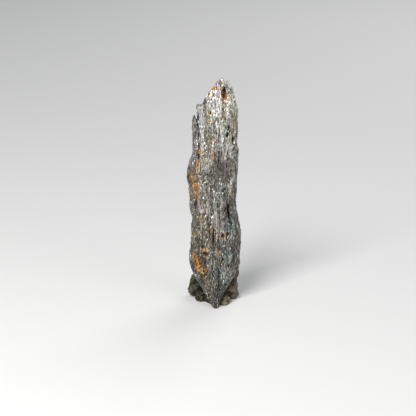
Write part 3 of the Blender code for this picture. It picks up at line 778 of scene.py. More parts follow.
# A lath's width and thickness at each ring, and the corners of its section: aside and up.
LATH_WIDTHS = np.array([0.35, 0.85, 1.0, 1.0, 0.9, 0.65, 0.12])
LATH_THICKS = np.array([0.5, 0.9, 1.0, 1.0, 0.95, 0.8, 0.45])
LATH_CORNERS = ((-0.5, -0.6), (0.5, -0.6), (0.36, 0.5), (-0.36, 0.5))
# How hollow the material takes a lath to be at those corners, which paints shade under its lower corners, how rusty
# it may be, and how much its tint varies.
LATH_HOLLOWS = np.array([0.6, 0.6, 0.0, 0.0])
LATH_RUST = 0.6
LATH_TINT = 0.4


def unit(vectors):
    """Vectors brought to length 1."""
    return vectors / np.maximum(np.linalg.norm(vectors, axis=-1, keepdims=True), 1e-9)


def loose_laths(skin, masks, count, seed):
    """Thin laths that lie along the skin. Each follows a smoothed copy of the skin up its length; across it
    is a low trapezium, tilted at random, and it narrows to an oblique point at its upper end."""
    random = np.random.RandomState(seed)

    def draw(low, high):
        return random.uniform(low, high, count)[:, None]

    rows, columns = skin.shape[:2]
    bed = np.stack([blur(skin[..., k], *BED_REACH) for k in range(3)], axis=-1)
    along = unit(np.gradient(bed, axis=0))
    across = unit(np.roll(bed, -1, axis=1) - np.roll(bed, 1, axis=1))
    across = unit(across - along * (across * along).sum(axis=-1, keepdims=True))
    normal = np.cross(across, along)
    t = np.linspace(0.0, 1.0, LATH_RINGS)
    longer, power = LONG_LATHS
    length = draw(*LATH_LENGTH) + longer * draw(0, 1) ** power
    start = LATH_MARGIN + (rows - 2 * LATH_MARGIN - length) * draw(0, 1)
    column = random.randint(0, columns, count)[:, None]
    row_at = np.round(start + length * t).astype(int)
    column_at = np.round(column + draw(*LATH_DRIFT) * t).astype(int) % columns
    middle, side, out = (field[row_at, column_at] for field in (bed, across, normal))
    full = draw(*LATH_WIDTH)[..., None]
    width = full * LATH_WIDTHS[:, None]
    thick = draw(*LATH_THICK)[..., None] * LATH_THICKS[:, None]
    tilt = draw(*LATH_TILT)[..., None]
    lift = (draw(*LATH_LIFT) + draw(*TIP_LIFT) * t**2)[..., None]
    lean = (random.choice([-TIP_LEAN, TIP_LEAN], count)[:, None] * (1 - LATH_WIDTHS) * (t > 0.5))[..., None]
    sunk = pit_depth(middle[..., 0], middle[..., 2], 0.0) * (middle[..., 1] < PIT_SIDE)
    lift = lift - np.minimum(sunk.max(axis=1), DEEPEST_LATH)[:, None, None]
    points = np.stack(
        [
            middle + side * (width * place + full * lean) + out * (lift + thick * level + width * place * tilt)
            for place, level in LATH_CORNERS
        ],
        axis=2,
    )
    ring = np.array([[k, (k + 1) % 4, (k + 1) % 4 + 4, k + 4] for k in range(4)])
    tube = (ring[None] + 4 * np.arange(LATH_RINGS - 1)[:, None, None]).reshape(-1, 4)
    last = 4 * (LATH_RINGS - 1)
    shape = np.concatenate([tube, [[3, 2, 1, 0], [last, last + 1, last + 2, last + 3]]])
    quads = (shape[None] + 4 * LATH_RINGS * np.arange(count)[:, None, None]).reshape(-1, 4)
    rust, shade, tint, sheen, calm = (
        np.repeat(masks[key][row_at, column_at][:, :, None], 4, axis=2)
        for key in ("rust", "shade", "tint", "sheen", "calm")
    )
    own_tone, own_tint = random.uniform(-1.0, 1.0, (2, count, 1, 1)) + np.zeros_like(rust)
    return make_mesh(
        "hematite_laths", points.reshape(-1, 3), quads, hollow=LATH_HOLLOWS + np.zeros_like(rust),
        rust=LATH_RUST * rust, tone=own_tone, shade=shade, tint=tint + LATH_TINT * own_tint, sheen=sheen, calm=calm,
    )


# ---------------------------------------------------------------- putty

# The middle and the three radii of each lump that the wad was pressed together from.
PUTTY_LUMPS = [
    ((0.6, 5.2, 2.0), (7.6, 4.8, 11.0)),
    ((1.6, -0.8, 0.6), (4.2, 5.2, 3.6)),
    ((-6.7, 4.4, 3.4), (3.7, 3.8, 3.5)),
    ((-7.6, 5.6, 6.0), (1.9, 2.6, 3.3)),
    ((-4.2, 0.4, 0.8), (2.8, 4.0, 2.6)),
    ((9.3, 3.4, 2.2), (2.6, 3.6, 3.9)),
    ((10.3, 5.6, 9.0), (1.7, 3.3, 7.3)),
    ((7.4, 1.2, 4.6), (2.0, 2.6, 2.6)),
    ((5.8, -3.4, 0.8), (2.5, 4.2, 2.7)),
    ((-3.4, 8.4, 3.0), (3.0, 2.4, 4.6)),
    ((4.6, 8.6, 3.4), (3.2, 2.2, 5.4)),
]
PUTTY_MIDDLE = (0.8, 1.7)
# How sharply the lumps meet; how far out their skin is looked for, and in how many steps.
PUTTY_BLEND = 12.0
PUTTY_REACH = 24.0
PUTTY_STEPS = 120
# Points round and up the wad; how they crowd towards its top; and how near to the zenith they end, as an angle.
PUTTY_AROUND = 300
PUTTY_UP = 130
PUTTY_CROWDING = 0.9
PUTTY_POLE = 0.04
# The lip's height, and the height over the floor up to which the relief fades in.
LIP = 0.55
PUTTY_FOOT = 1.5
# Flats that kneading left: how many, how sharply they meet, their tilt, how far the skin moves to them, a seed.
FLATS = (260, 7.0, 0.22, 0.55, 38)
# Folds between them lie where this noise is near 0: half width in noise, and depth.
FOLD_NOISE = (1.0, 9, 6, 35)
FOLD_WIDTH = 0.12
FOLD_DEPTH = 0.5
# Unevenness of the skin, and its grain: how strong, cells of noise round and up the wad, and a seed.
PUTTY_NOISE = [(0.22, 17, 9, 31), (0.06, 41, 23, 32)]
PUTTY_GRAIN = (0.035, 110, 60, 33)
# Brown dust, together with painted light that makes the putty lighter on its right side, begins right of this x, and
# covers the putty within this distance.
DUST_X = 1.0
DUST_FADE = 4.0
DUST_NOISE = (0.5, 7, 5, 34)
# Grooves and ridges lie this far below or above the mean of this many columns and rows on either side; grooves get
# painted shade and ridges are made paler. Beside the blade is a gap of painted shade, this wide and this dark.
GROOVE_REACH = (8, 6)
GROOVE_DEPTH = 0.5
RIDGE_REACH = (5, 4)
RIDGE_HEIGHT = 0.35
GAP_WIDTH = 0.6
GAP_SHADE = 0.8
# Dents that fingers left: direction round the wad in degrees, height, half widths, depth.
DENTS = [
    (-150, 2.4, 16, 1.6, 0.45),
    (-118, 1.6, 12, 1.3, 0.3),
    (-60, 1.3, 14, 1.2, 0.35),
    (-20, 3.6, 14, 2.2, 0.4),
    (15, 7.5, 12, 2.6, 0.35),
    (60, 5.0, 18, 3.0, 0.5),
    (105, 8.5, 20, 3.0, 0.6),
    (150, 3.0, 16, 2.2, 0.45),
    (178, 5.0, 12, 1.8, 0.3),
]


def putty_field(points):
    """Above 0 inside the putty: log of the summed exponentials of the lumps' own fields, 1 - |p / radii|."""
    total = 0.0
    for middle, radii in PUTTY_LUMPS:
        inside = 1.0 - np.linalg.norm((points - middle) / np.array(radii), axis=-1)
        total = total + np.exp(PUTTY_BLEND * inside)
    return np.log(total) / PUTTY_BLEND


def off_the_stone(points):
    """About how far these points lie outside the blade's plain section, in millimetres."""
    x, y, height = np.moveaxis(points, -1, 0)
    core_x, left, right, front, back = section_sides(height, height)
    across = (x - core_x) / np.where(x < core_x, left, right)
    deep = (y - (front + back) / 2) / ((back - front) / 2)
    size = np.minimum((left + right) / 2, (back - front) / 2)
    return (np.hypot(across, deep) - 1.0) * size


def skin_normals(points):
    """Unit normals of a grid whose rows are rings: the cross product of its two directions."""
    along = np.roll(points, -2, axis=1) - np.roll(points, 2, axis=1)
    return unit(np.cross(along, np.gradient(points, axis=0)))


def kneaded_flats(points, normals):
    """How far each point moves along its normal to lie on a flat: at random points of the skin the tangent plane is
    taken, a little tilted, and the nearest ones count, weighed by exp(-k d^2) of their distance d."""
    count, sharpness, tilt, furthest, seed = FLATS
    random = np.random.RandomState(seed)
    rows, columns = random.randint(2, PUTTY_UP - 6, count), random.randint(0, PUTTY_AROUND, count)
    planes = unit(normals[rows, columns] + random.normal(0.0, tilt, (count, 3)))
    total, weights = np.zeros(points.shape[:2]), np.full(points.shape[:2], 1e-9)
    for plane, place in zip(planes, points[rows, columns]):
        off = ((place - points) @ plane) / np.clip(normals @ plane, 0.4, None)
        weight = np.exp(-sharpness * np.minimum(((points - place) ** 2).sum(axis=-1), 12.0))
        total, weights = total + weight * np.clip(off, -furthest, furthest), weights + weight
    return total / weights


def putty_reach(foot, rays):
    """How far the last point inside the blended lumps lies along each ray, in a straight line between two steps."""
    steps = np.linspace(0.0, PUTTY_REACH, PUTTY_STEPS + 1)
    reach = np.zeros(rays.shape[:2])
    for row, ray in enumerate(rays):
        field = putty_field(foot + ray[:, None, :] * steps[:, None])
        last = PUTTY_STEPS - np.argmax(field[:, ::-1] > 0, axis=1)
        inner, outer = (field[np.arange(len(ray)), k] for k in (last, last + 1))
        reach[row] = steps[last] + steps[1] * inner / (inner - outer)
    return blur(reach, 3, 2)


def putty_skin(lip):
    """The putty's skin as rings, and its masks. Along rays from the middle of its foot it lies at the last point
    inside the blended lumps. It is then moved along its normals: out to flats and in to folds and dents, and up
    to a lip where the blade stands in it."""
    turn = np.arange(PUTTY_AROUND) / PUTTY_AROUND * 2 * np.pi
    up = np.linspace(0.0, 1.0, PUTTY_UP)[:, None]
    rise = up**PUTTY_CROWDING * (np.pi / 2 - PUTTY_POLE)
    turn, rise, along = np.broadcast_arrays(turn, rise, up)
    rays = np.stack([np.cos(rise) * np.cos(turn), np.cos(rise) * np.sin(turn), np.sin(rise)], axis=-1)
    foot = np.array([*PUTTY_MIDDLE, 0.0])
    reach = putty_reach(foot, rays)
    points = foot + rays * reach[..., None]
    normals = skin_normals(points)
    around, height = turn / (2 * np.pi), points[..., 2]
    out = kneaded_flats(points, normals)
    for direction, dent_height, half_turn, half_height, depth in DENTS:
        off = (np.degrees(turn) - direction + 180.0) % 360.0 - 180.0
        out = out - depth * np.exp(-((off / half_turn) ** 2) - ((height - dent_height) / half_height) ** 2)
    out = out + noise(around, along, *PUTTY_NOISE)
    out = out - FOLD_DEPTH * np.exp(-((noise(around, along, FOLD_NOISE) / FOLD_WIDTH) ** 2))
    out = blur(out, 1, 1) + noise(around, along, PUTTY_GRAIN)
    close = off_the_stone(points)
    out = (out + lip * np.exp(-(close**2))) * smooth(height / PUTTY_FOOT)
    points = points + normals * out[..., None]
    points[..., 2] = np.maximum(points[..., 2], 0.0)
    bulge = reach + 2.0 * out
    groove = np.clip((blur(bulge, *GROOVE_REACH) - bulge) / GROOVE_DEPTH, 0.0, 1.0)
    masks = {
        # Painted shade in the grooves and in the gap beside the blade.
        "hollow": np.clip(groove + GAP_SHADE * np.exp(-((close / GAP_WIDTH) ** 2)), 0.0, 1.0),
        "ridge": np.clip((bulge - blur(bulge, *RIDGE_REACH)) / RIDGE_HEIGHT, 0.0, 1.0),
        # Brown dust and painted light on the right side.
        "dust": smooth((points[..., 0] - DUST_X) / DUST_FADE) + noise(around, along, DUST_NOISE),
    }
    return points, masks


# ---------------------------------------------------------------- materials

# Width in metres and stretch, from broad to fine, of the streaks and of the facets; then size in metres and
# detail of the grain, of the tarnish's patches and of the rust's mottling.
STREAKS = ((0.0013, 12.0), (0.00042, 3.6), (0.00028, 3.0))
FACETS = ((0.0021, 2.6), (0.00032, 3.0), (0.00024, 2.4))
GRAINS = ((0.00035, 5.0), (0.009, 2.0), (0.0006, 2.0))
# The tarnish's tints, which a facet takes by its hue, and the middle of the film between green and purple.
TARNISH = (
    (0.0, (0.75, 0.88, 1.08, 1.0)), (0.3, (1.0, 0.86, 1.03, 1.0)), (0.55, (0.86, 1.0, 0.86, 1.0)),
    (0.8, (1.15, 1.0, 0.75, 1.0)),
)
NO_FILM = (1.0, 1.0, 0.98, 1.0)
WHITE = (1.0, 1.0, 1.0, 1.0)


def add_node(tree, kind, inputs=None, **settings):
    """A node with these settings; each input is given a value, or linked to a socket."""
    node = tree.nodes.new(kind)
    for key, value in settings.items():
        setattr(node, key, value)
    for key, value in (inputs or {}).items():
        if isinstance(value, bpy.types.NodeSocket):
            tree.links.new(value, node.inputs[key])
        else:
            node.inputs[key].default_value = value
    return node


def sum_of(tree, operation, *values, clamp=False):
    """The output of a Math node."""
    inputs = dict(enumerate(values))
    return add_node(tree, "ShaderNodeMath", inputs, operation=operation, use_clamp=clamp).outputs[0]


def vector_of(tree, operation, first, second=None):
    """The output of a Vector Math node; to scale, the second value is a number."""
    inputs = {0: first} if second is None else {0: first, "Scale" if operation == "SCALE" else 1: second}
    return add_node(tree, "ShaderNodeVectorMath", inputs, operation=operation).outputs[0]


def blend_of(tree, factor, first, second, blend="MIX"):
    """The colour output of a Mix node."""
    inputs = {0: factor, 6: first, 7: second}
    return add_node(tree, "ShaderNodeMix", inputs, data_type="RGBA", blend_type=blend).outputs[2]


def spread(tree, value, low, high, to_low=0.0, to_high=1.0):
    """A value brought from one range to another, and kept in it."""
    inputs = {"Value": value, "From Min": low, "From Max": high, "To Min": to_low, "To Max": to_high}
    return add_node(tree, "ShaderNodeMapRange", inputs, clamp=True).outputs["Result"]


def swing(tree, value, strength, low=0.3, high=0.7):
    """A value brought to the range from -strength to strength; a noise's own range is about 0.3 to 0.7."""
    return spread(tree, value, low, high, -strength, strength)


def colour_ramp(tree, value, *stops):
    """The colour that a ramp with these stops, each a place and a colour, gives for a value."""
    ramp = add_node(tree, "ShaderNodeValToRGB", {"Fac": value})
    for k, (place, colour) in enumerate(stops):
        stop = ramp.color_ramp.elements[k] if k < 2 else ramp.color_ramp.elements.new(place)
        stop.position, stop.color = place, colour
    return ramp.outputs["Color"]


def mask_of(tree, name):
    """A mesh attribute's value."""
    return add_node(tree, "ShaderNodeAttribute", attribute_name=name).outputs["Fac"]


def new_group(name, inputs, outputs):
    """An empty shader node group with these sockets, and its input and output nodes."""
    group = bpy.data.node_groups.new(name, "ShaderNodeTree")
    for sockets, way in ((inputs, "INPUT"), (outputs, "OUTPUT")):
        for socket_name, kind, default in sockets:
            socket = group.interface.new_socket(name=socket_name, in_out=way, socket_type=f"NodeSocket{kind}")
            if default is not None:
                socket.default_value = default
    return group, group.nodes.new("NodeGroupInput"), group.nodes.new("NodeGroupOutput")


def drawn_out(group, given):
    """The inputs of a pattern that is drawn out along Z: Width is a form's width in metres, and Stretch its
    length in widths."""
    place = add_node(group, "ShaderNodeTexCoord").outputs["Object"]
    split = add_node(group, "ShaderNodeSeparateXYZ", {0: place})
    pulled = sum_of(group, "DIVIDE", split.outputs[2], given.outputs["Stretch"])
    joined = add_node(group, "ShaderNodeCombineXYZ", {0: split.outputs[0], 1: split.outputs[1], 2: pulled})
    return {"Vector": joined.outputs[0], "Scale": sum_of(group, "DIVIDE", 1.0, given.outputs["Width"])}


def fibre_streaks():
    """Noise drawn out along Z."""
    group, given, made = new_group(
        "Fibre Streaks",
        [("Width", "Float", 0.001), ("Stretch", "Float", 10.0), ("Seed", "Float", 0.0)],
        [("Value", "Float", None)],
    )
    inputs = {**drawn_out(group, given), "W": given.outputs["Seed"], "Detail": 3.0, "Roughness": 0.6}
    streaks = add_node(group, "ShaderNodeTexNoise", inputs, noise_dimensions="4D")
    group.links.new(streaks.outputs["Fac"], made.inputs["Value"])
    return group


def cleavage_facets():
    """Long cells, each with a tone and a hue of its own from 0 to 1, and the normal tilted at random."""
    group, given, made = new_group(
        "Cleavage Facets",
        [("Width", "Float", 0.0006), ("Stretch", "Float", 7.0), ("Tilt", "Float", 0.6)],
        [("Tone", "Float", None), ("Hue", "Float", None), ("Normal", "Vector", None)],
    )
    chance = add_node(group, "ShaderNodeTexVoronoi", drawn_out(group, given)).outputs["Color"]
    parts = add_node(group, "ShaderNodeSeparateColor", {0: chance})
    tilt = vector_of(group, "SCALE", vector_of(group, "SUBTRACT", chance, (0.5, 0.5, 0.5)), given.outputs["Tilt"])
    plain = add_node(group, "ShaderNodeNewGeometry").outputs["Normal"]
    normal = vector_of(group, "NORMALIZE", vector_of(group, "ADD", plain, tilt))
    for value, name in ((parts.outputs[0], "Tone"), (parts.outputs[1], "Hue"), (normal, "Normal")):
        group.links.new(value, made.inputs[name])
    return group


def fine_grain():
    """An even grain: Size is a grain's size in metres."""
    group, given, made = new_group(
        "Fine Grain", [("Size", "Float", 0.0004), ("Detail", "Float", 4.0)], [("Value", "Float", None)]
    )
    place = add_node(group, "ShaderNodeTexCoord").outputs["Object"]
    scale = sum_of(group, "DIVIDE", 1.0, given.outputs["Size"])
    inputs = {"Vector": place, "Scale": scale, "Detail": given.outputs["Detail"], "Roughness": 0.6}
    grain = add_node(group, "ShaderNodeTexNoise", inputs)
    group.links.new(grain.outputs["Fac"], made.inputs["Value"])
    return group


def use_group(tree, builder, **inputs):
    """A group placed in a material; it is built the first time that it is asked for."""
    title = builder.__name__.replace("_", " ").title()
    group = bpy.data.node_groups.get(title) or builder()
    return add_node(tree, "ShaderNodeGroup", {k.title(): v for k, v in inputs.items()}, node_tree=group)


def new_material(name):
    """A material with only a Principled BSDF and its output: the material, its tree and the shader."""
    material = bpy.data.materials.new(name)
    material.use_nodes = True
    tree = material.node_tree
    return material, tree, tree.nodes["Principled BSDF"]


def set_shader(tree, shader, **inputs):
    """Values and links for the shader's sockets, with _ for a space in their names."""
    for key, value in inputs.items():
        socket = shader.inputs[key.replace("_", " ")]
        if isinstance(value, bpy.types.NodeSocket):
            tree.links.new(value, socket)
        else:
            socket.default_value = value


def hematite_material(given):
    """Steel-grey ore: laths of differing tone with tilted cleavage facets, dull brownish ground between them,
    a faint tarnish of blue, violet, green and gold, dark seams with painted shade in the hollows, the ore's tone
    with painted light and shade from the shade mask, and orange rust by the rust mask."""
    material, tree, shader = new_material("fibrous_hematite")
    hollow, rust, tone, shade, tint, sheen, calm = (
        mask_of(tree, name) for name in ("hollow", "rust", "tone", "shade", "tint", "sheen", "calm")
    )
    broad, fine, finest = (
        use_group(tree, fibre_streaks, width=width, stretch=stretch, seed=seed).outputs[0]
        for seed, (width, stretch) in enumerate(STREAKS, 1)
    )
    plates, facets, small = (
        use_group(tree, cleavage_facets, width=width, stretch=stretch, tilt=given.facet_tilt).outputs
        for width, stretch in FACETS
    )
    grain, patches, mottle = (
        use_group(tree, fine_grain, size=size, detail=detail).outputs[0] for size, detail in GRAINS
    )

    # Brightness of a lath, around 0.5: its own tone, the streaks in it, and its facets.
    bright = sum_of(tree, "MULTIPLY_ADD", tone, 0.1, 0.5)
    for value, *strength_and_range in (
        (fine, 0.26), (finest, 0.26), (facets["Tone"], 0.24, 0.0, 1.0), (plates["Tone"], 0.12, 0.0, 1.0),
        (broad, 0.15),
    ):
        bright = sum_of(tree, "ADD", bright, swing(tree, value, *strength_and_range))
    lively = spread(tree, calm, 0.0, 1.0, 1.0, 0.35)
    bright = sum_of(tree, "MULTIPLY_ADD", sum_of(tree, "SUBTRACT", bright, 0.5), lively, 0.5)
    stops = (0.0, given.seam_colour), (0.32, given.dull_colour), (0.6, given.steel_colour), (0.95, given.glint_colour)
    greys = colour_ramp(tree, bright, *stops)

    # From blue-grey to tan by the tint mask and by facet, then a faint tarnish, strongest in patches.
    warmth = sum_of(tree, "MULTIPLY_ADD", tint, 0.5, spread(tree, small["Tone"], 0.0, 1.0, 0.25, 0.85))
    warmth = sum_of(tree, "ADD", warmth, spread(tree, rust, 0.02, 0.3, 0.0, 0.5))
    steel = blend_of(tree, 1.0, greys, blend_of(tree, warmth, given.cool_cast, given.warm_cast), "MULTIPLY")
    film = spread(tree, sum_of(tree, "MULTIPLY_ADD", facets["Tone"], 0.9, sheen), -0.65, 1.55)
    glaze = colour_ramp(tree, film, (0.0, given.green_film), (0.5, NO_FILM), (1.0, given.purple_film))
    steel = blend_of(tree, 1.0, steel, glaze, "MULTIPLY")
    amount = spread(tree, patches, 0.38, 0.62, 0.3 * given.tarnish, given.tarnish)
    tinted = blend_of(tree, amount, steel, colour_ramp(tree, facets["Hue"], *TARNISH), "MULTIPLY")
    # The shade mask multiplies the colour: the ore's tone together with painted light and shade.
    lit = vector_of(tree, "SCALE", tinted, sum_of(tree, "POWER", 2.0, shade))
    tinted = blend_of(tree, 1.0, lit, WHITE, "DARKEN")

    # Seams and hollows are darkened: partly the seams' dark ore, partly painted shade. Rust lies in and beside them.
    dark = spread(tree, hollow, 0.05, 0.9, 0.0, given.seam_depth)
    ground = blend_of(tree, dark, tinted, given.seam_colour)
    ragged = sum_of(tree, "ADD", swing(tree, fine, 0.45), swing(tree, mottle, 0.6))
    rusty = sum_of(tree, "ADD", rust, sum_of(tree, "MULTIPLY", ragged, spread(tree, rust, 0.0, 0.4)))
    rusty = spread(tree, rusty, 0.25, 0.45)
    depth = sum_of(tree, "MULTIPLY_ADD", hollow, -0.55, swing(tree, grain, 0.3))
    shades = sum_of(tree, "ADD", spread(tree, mottle, 0.3, 0.7), depth)
    core = colour_ramp(tree, shades, (0.18, given.rust_dark), (0.48, given.rust_colour), (0.8, given.rust_pale))
    colour = blend_of(tree, rusty, ground, core)

    # Rust and seams are dull. The streaks and the grain stand out a little, and the facets turn the skin.
    dull = sum_of(tree, "MAXIMUM", sum_of(tree, "MULTIPLY", dark, 0.8), rusty, clamp=True)
    bare, metal = spread(tree, dull, 0.0, 1.0, 1.0, 0.0), spread(tree, bright, 0.1, 0.5, 0.55, 1.0)
    rough = spread(tree, bright, 0.2, 0.9, given.roughness + 0.14, given.roughness - 0.1)
    rough = sum_of(tree, "ADD", rough, sum_of(tree, "MULTIPLY", dull, 0.4), clamp=True)
    height = sum_of(tree, "ADD", sum_of(tree, "MULTIPLY", fine, 0.6), sum_of(tree, "MULTIPLY", finest, 0.4))
    height = sum_of(tree, "ADD", height, sum_of(tree, "MULTIPLY", grain, 0.25))
    plain = add_node(tree, "ShaderNodeNewGeometry").outputs["Normal"]
    normal = vector_of(tree, "ADD", facets["Normal"], small["Normal"])
    for other in (plates["Normal"], vector_of(tree, "SCALE", plain, sum_of(tree, "MULTIPLY", calm, 5.0))):
        normal = vector_of(tree, "ADD", normal, other)
    inputs = {"Height": height, "Normal": vector_of(tree, "NORMALIZE", normal), "Distance": 0.0003, "Strength": 0.7}
    bump = add_node(tree, "ShaderNodeBump", inputs)
    set_shader(
        tree, shader, Base_Color=colour, Metallic=sum_of(tree, "MULTIPLY", bare, metal), Roughness=rough,
        Specular_IOR_Level=0.25, Normal=bump.outputs[0],
    )
    return material


def putty_material(given):
    """Grey-khaki putty: mottled, with brown dust and painted light on one side, painted shade in its dents, grooves
    and beside the blade, and with a fine grain.
    """
    material, tree, shader = new_material("museum_putty")
    mottle = use_group(tree, fine_grain, size=0.0035, detail=3.0).outputs[0]
    grain = use_group(tree, fine_grain, size=0.0004, detail=5.0).outputs[0]
    hollow = mask_of(tree, "hollow")
    dust = spread(tree, mask_of(tree, "dust"), 0.0, 1.0)
    # Brown dust and painted light, lighter on the right side.
    dusty_and_lit = blend_of(tree, dust, given.colour, given.dusty_colour)
    pale = blend_of(tree, spread(tree, mottle, 0.45, 0.6, 0.0, 0.8), dusty_and_lit, given.pale_colour)
    # The ridges of the folds are made paler.
    pale = blend_of(tree, sum_of(tree, "MULTIPLY", mask_of(tree, "ridge"), 0.6), pale, given.ridge_colour)
    specks = spread(tree, grain, 0.6, 0.72, 0.0, 0.5)
    colour = blend_of(tree, specks, pale, given.speck_colour)
    # Painted shade in the grooves, dents and the gap beside the blade.
    colour = blend_of(tree, sum_of(tree, "MULTIPLY", hollow, 0.85), colour, given.dent_colour)
    rough = spread(tree, mottle, 0.3, 0.7, given.roughness - 0.1, given.roughness + 0.1)
    height = sum_of(tree, "ADD", mottle, sum_of(tree, "MULTIPLY", grain, 0.35))
    bump = add_node(tree, "ShaderNodeBump", {"Height": height, "Distance": 0.0004, "Strength": 0.6})
    set_shader(tree, shader, Base_Color=colour, Roughness=rough, Specular_IOR_Level=0.18, Normal=bump.outputs[0])
    return material


def floor_material(given):
    """A plain pale floor."""
    material, tree, shader = new_material("studio_floor")
    set_shader(tree, shader, Base_Color=given.floor_colour, Roughness=0.7)
    return material


# ---------------------------------------------------------------- settings


def colour_property(name, description, colour):
    """A colour setting with its default."""
    return bpy.props.FloatVectorProperty(
        name=name, description=description, default=(*colour, 1.0), size=4, subtype="COLOR", min=0.0, max=1.0
    )


def share_property(name, description, default, high=1.0, low=0.0):
    """A setting that is a plain number, with its default and its range."""
    return bpy.props.FloatProperty(
        name=name, description=description, default=default, min=low, max=high, subtype="FACTOR"
    )


def light_property(name, description, watts):
    """The power of a light."""
    return bpy.props.FloatProperty(name=name, description=description, default=watts, min=0.0, unit="POWER")


class HematiteSettings(bpy.types.PropertyGroup):
    """The blade's sizes and colours."""

    fineness: share_property("Fine Laths", "How far the finest laths stand off", 1.0, 3.0)
    lath_count: bpy.props.IntProperty(
        name="Loose Laths", description="How many thin laths lie on the blade", default=2200, min=1, max=3500
    )
    facet_tilt: share_property("Facet Tilt", "How much the cleavage facets differ in direction", 0.9, 2.0)
    tarnish: share_property("Tarnish", "Strength of the iridescent tints", 0.75)
    roughness: share_property("Roughness", "Roughness of the bright laths", 0.34, 0.8, 0.1)
    seam_depth: share_property("Seam Darkness", "How dark the seams are", 0.85)
    # How dark the seams and the painted shade in hollows, pits and cracks are.
    steel_colour: colour_property("Steel", "The ore's usual grey", (0.36, 0.36, 0.35))
    glint_colour: colour_property("Glint", "The brightest laths", (0.800, 0.796, 0.827))
    dull_colour: colour_property("Dull Ground", "Earthy ore between the laths", (0.15, 0.145, 0.125))
    # Also the colour of the painted shade in hollows, pits and cracks.
    seam_colour: colour_property("Seam", "The bottom of the seams", (0.030, 0.026, 0.020))
    purple_film: colour_property("Purple Film", "What the purple film multiplies the ore by", (1.0, 0.80, 0.98))
    green_film: colour_property("Green Film", "What the green film multiplies the ore by", (0.80, 1.0, 0.94))
    cool_cast: colour_property("Cool Cast", "What the bluest parts are multiplied by", (0.90, 0.96, 1.030))
    warm_cast: colour_property("Warm Cast", "What the tannest parts are multiplied by", (1.0, 0.92, 0.742))
    rust_colour: colour_property("Rust", "Orange limonite", (0.46, 0.168, 0.016))
    rust_pale: colour_property("Pale Rust", "The palest limonite", (0.78, 0.40, 0.085))
    rust_dark: colour_property("Dark Rust", "Brown limonite in the pits", (0.09, 0.030, 0.010))


class PuttySettings(bpy.types.PropertyGroup):
    """The putty's sizes and colours."""

    lip: bpy.props.FloatProperty(
        name="Lip", description="How far the putty is raised where the blade stands in it", default=LIP * MM,
        min=0.0, max=0.003, unit="LENGTH", precision=5,
    )
    roughness: share_property("Roughness", "Roughness of the putty", 0.55, 0.9, 0.1)
    colour: colour_property("Putty", "The putty's usual colour", (0.014, 0.0125, 0.0075))
    # Brown dust, and painted light on the right side.
    dusty_colour: colour_property("Dusty Putty", "Where brown dust clings to it", (0.235, 0.182, 0.125))
    pale_colour: colour_property("Pale Putty", "Its khaki mottling", (0.048, 0.045, 0.024))
    # The colour that the ridges of the folds are made paler towards.
    ridge_colour: colour_property("Rubbed Putty", "The edges of its folds, rubbed pale", (0.115, 0.105, 0.062))
    speck_colour: colour_property("Specks", "Dust and grit in it", (0.12, 0.11, 0.08))
    # The colour of the painted shade in the grooves, dents and beside the blade.
    dent_colour: colour_property("Dents", "Where it is dented", (0.020, 0.017, 0.010))


class StageSettings(bpy.types.PropertyGroup):
    """The floor, the lights and the camera."""

    floor_colour: colour_property("Floor", "The floor's colour", (0.72, 0.715, 0.70))
    room_colour: colour_property("Room", "The colour of the room's light", (0.92, 0.95, 1.0))
    room_level: share_property("Room Light", "Brightness of the room", 0.31, 3.0)
    key_power: light_property("Key Light", "Power of the large soft light", 5.0)
    fill_power: light_property("Fill Light", "Power of the light on the right", 1.5)
    back_power: light_property("Back Light", "Power of the light behind", 3.0)
    distance: bpy.props.FloatProperty(
        name="Camera Distance", description="From the camera to the blade", default=0.7, min=0.1, unit="LENGTH"
    )
    elevation: bpy.props.FloatProperty(
        name="Elevation", description="How far the camera looks down", default=math.radians(18.0), unit="ROTATION"
    )
    roll: bpy.props.FloatProperty(
        name="Roll", description="How far the camera is tipped to the left", default=math.radians(1.65),
        unit="ROTATION",
    )
    lens: bpy.props.FloatProperty(
        name="Lens", description="Focal length in millimetres", default=137.7, min=10.0, unit="CAMERA"
    )


class SpecimenSettings(bpy.types.PropertyGroup):
    """Everything that a user would change."""

    hematite: bpy.props.PointerProperty(type=HematiteSettings)
    putty: bpy.props.PointerProperty(type=PuttySettings)
    stage: bpy.props.PointerProperty(type=StageSettings)


# ---------------------------------------------------------------- operators

# Half the floor's side, what the lamps face, and where each stands and how large it is, in metres.
FLOOR_REACH = 4.0
LAMP_AIM = (0.0, 0.0, 0.05)
LAMPS = {
    "key": ((-0.24, -0.42, 0.52), 0.3),
    "fill": ((0.70, -0.55, 0.45), 0.5),
    "back": ((0.35, 0.75, 0.65), 0.5),
}
# What the camera is aimed at, in millimetres, and how far it is then raised along its own upright.
CAMERA_AIM = (-2.35, -0.8, 0.0)
CAMERA_RISE = 40.4


def hematite_finish(given):
    """The ore's material, which the blade and its laths share; it is made the first time."""
    return bpy.data.materials.get("fibrous_hematite") or hematite_material(given)


class SPECIMEN_OT_blade(bpy.types.Operator):
    """Build the blade of fibrous ore"""

    bl_idname = "specimen.blade"
    bl_label = "Blade"

    def execute(self, context):
        given = context.scene.specimen.hematite
        points, masks, deep = blade_skin(given.fineness)
        cap = top_cap(points, deep)
        rings = np.ones((len(cap), 1))
        masks = {key: np.concatenate([values, rings * CAP_SHARES[key] * values[-1]]) for key, values in masks.items()}
        parts = [(np.concatenate([points, cap]), masks)]
        parts += [splinter_skin(*splinter, SPLINTER_SEED + 2 * k) for k, splinter in enumerate(SPLINTERS)]
        mesh = closed_rings("hematite_stone", parts)
        add_piece("hematite_stone", mesh, hematite_finish(given), "hematite", "hematite_blade")
        return {"FINISHED"}


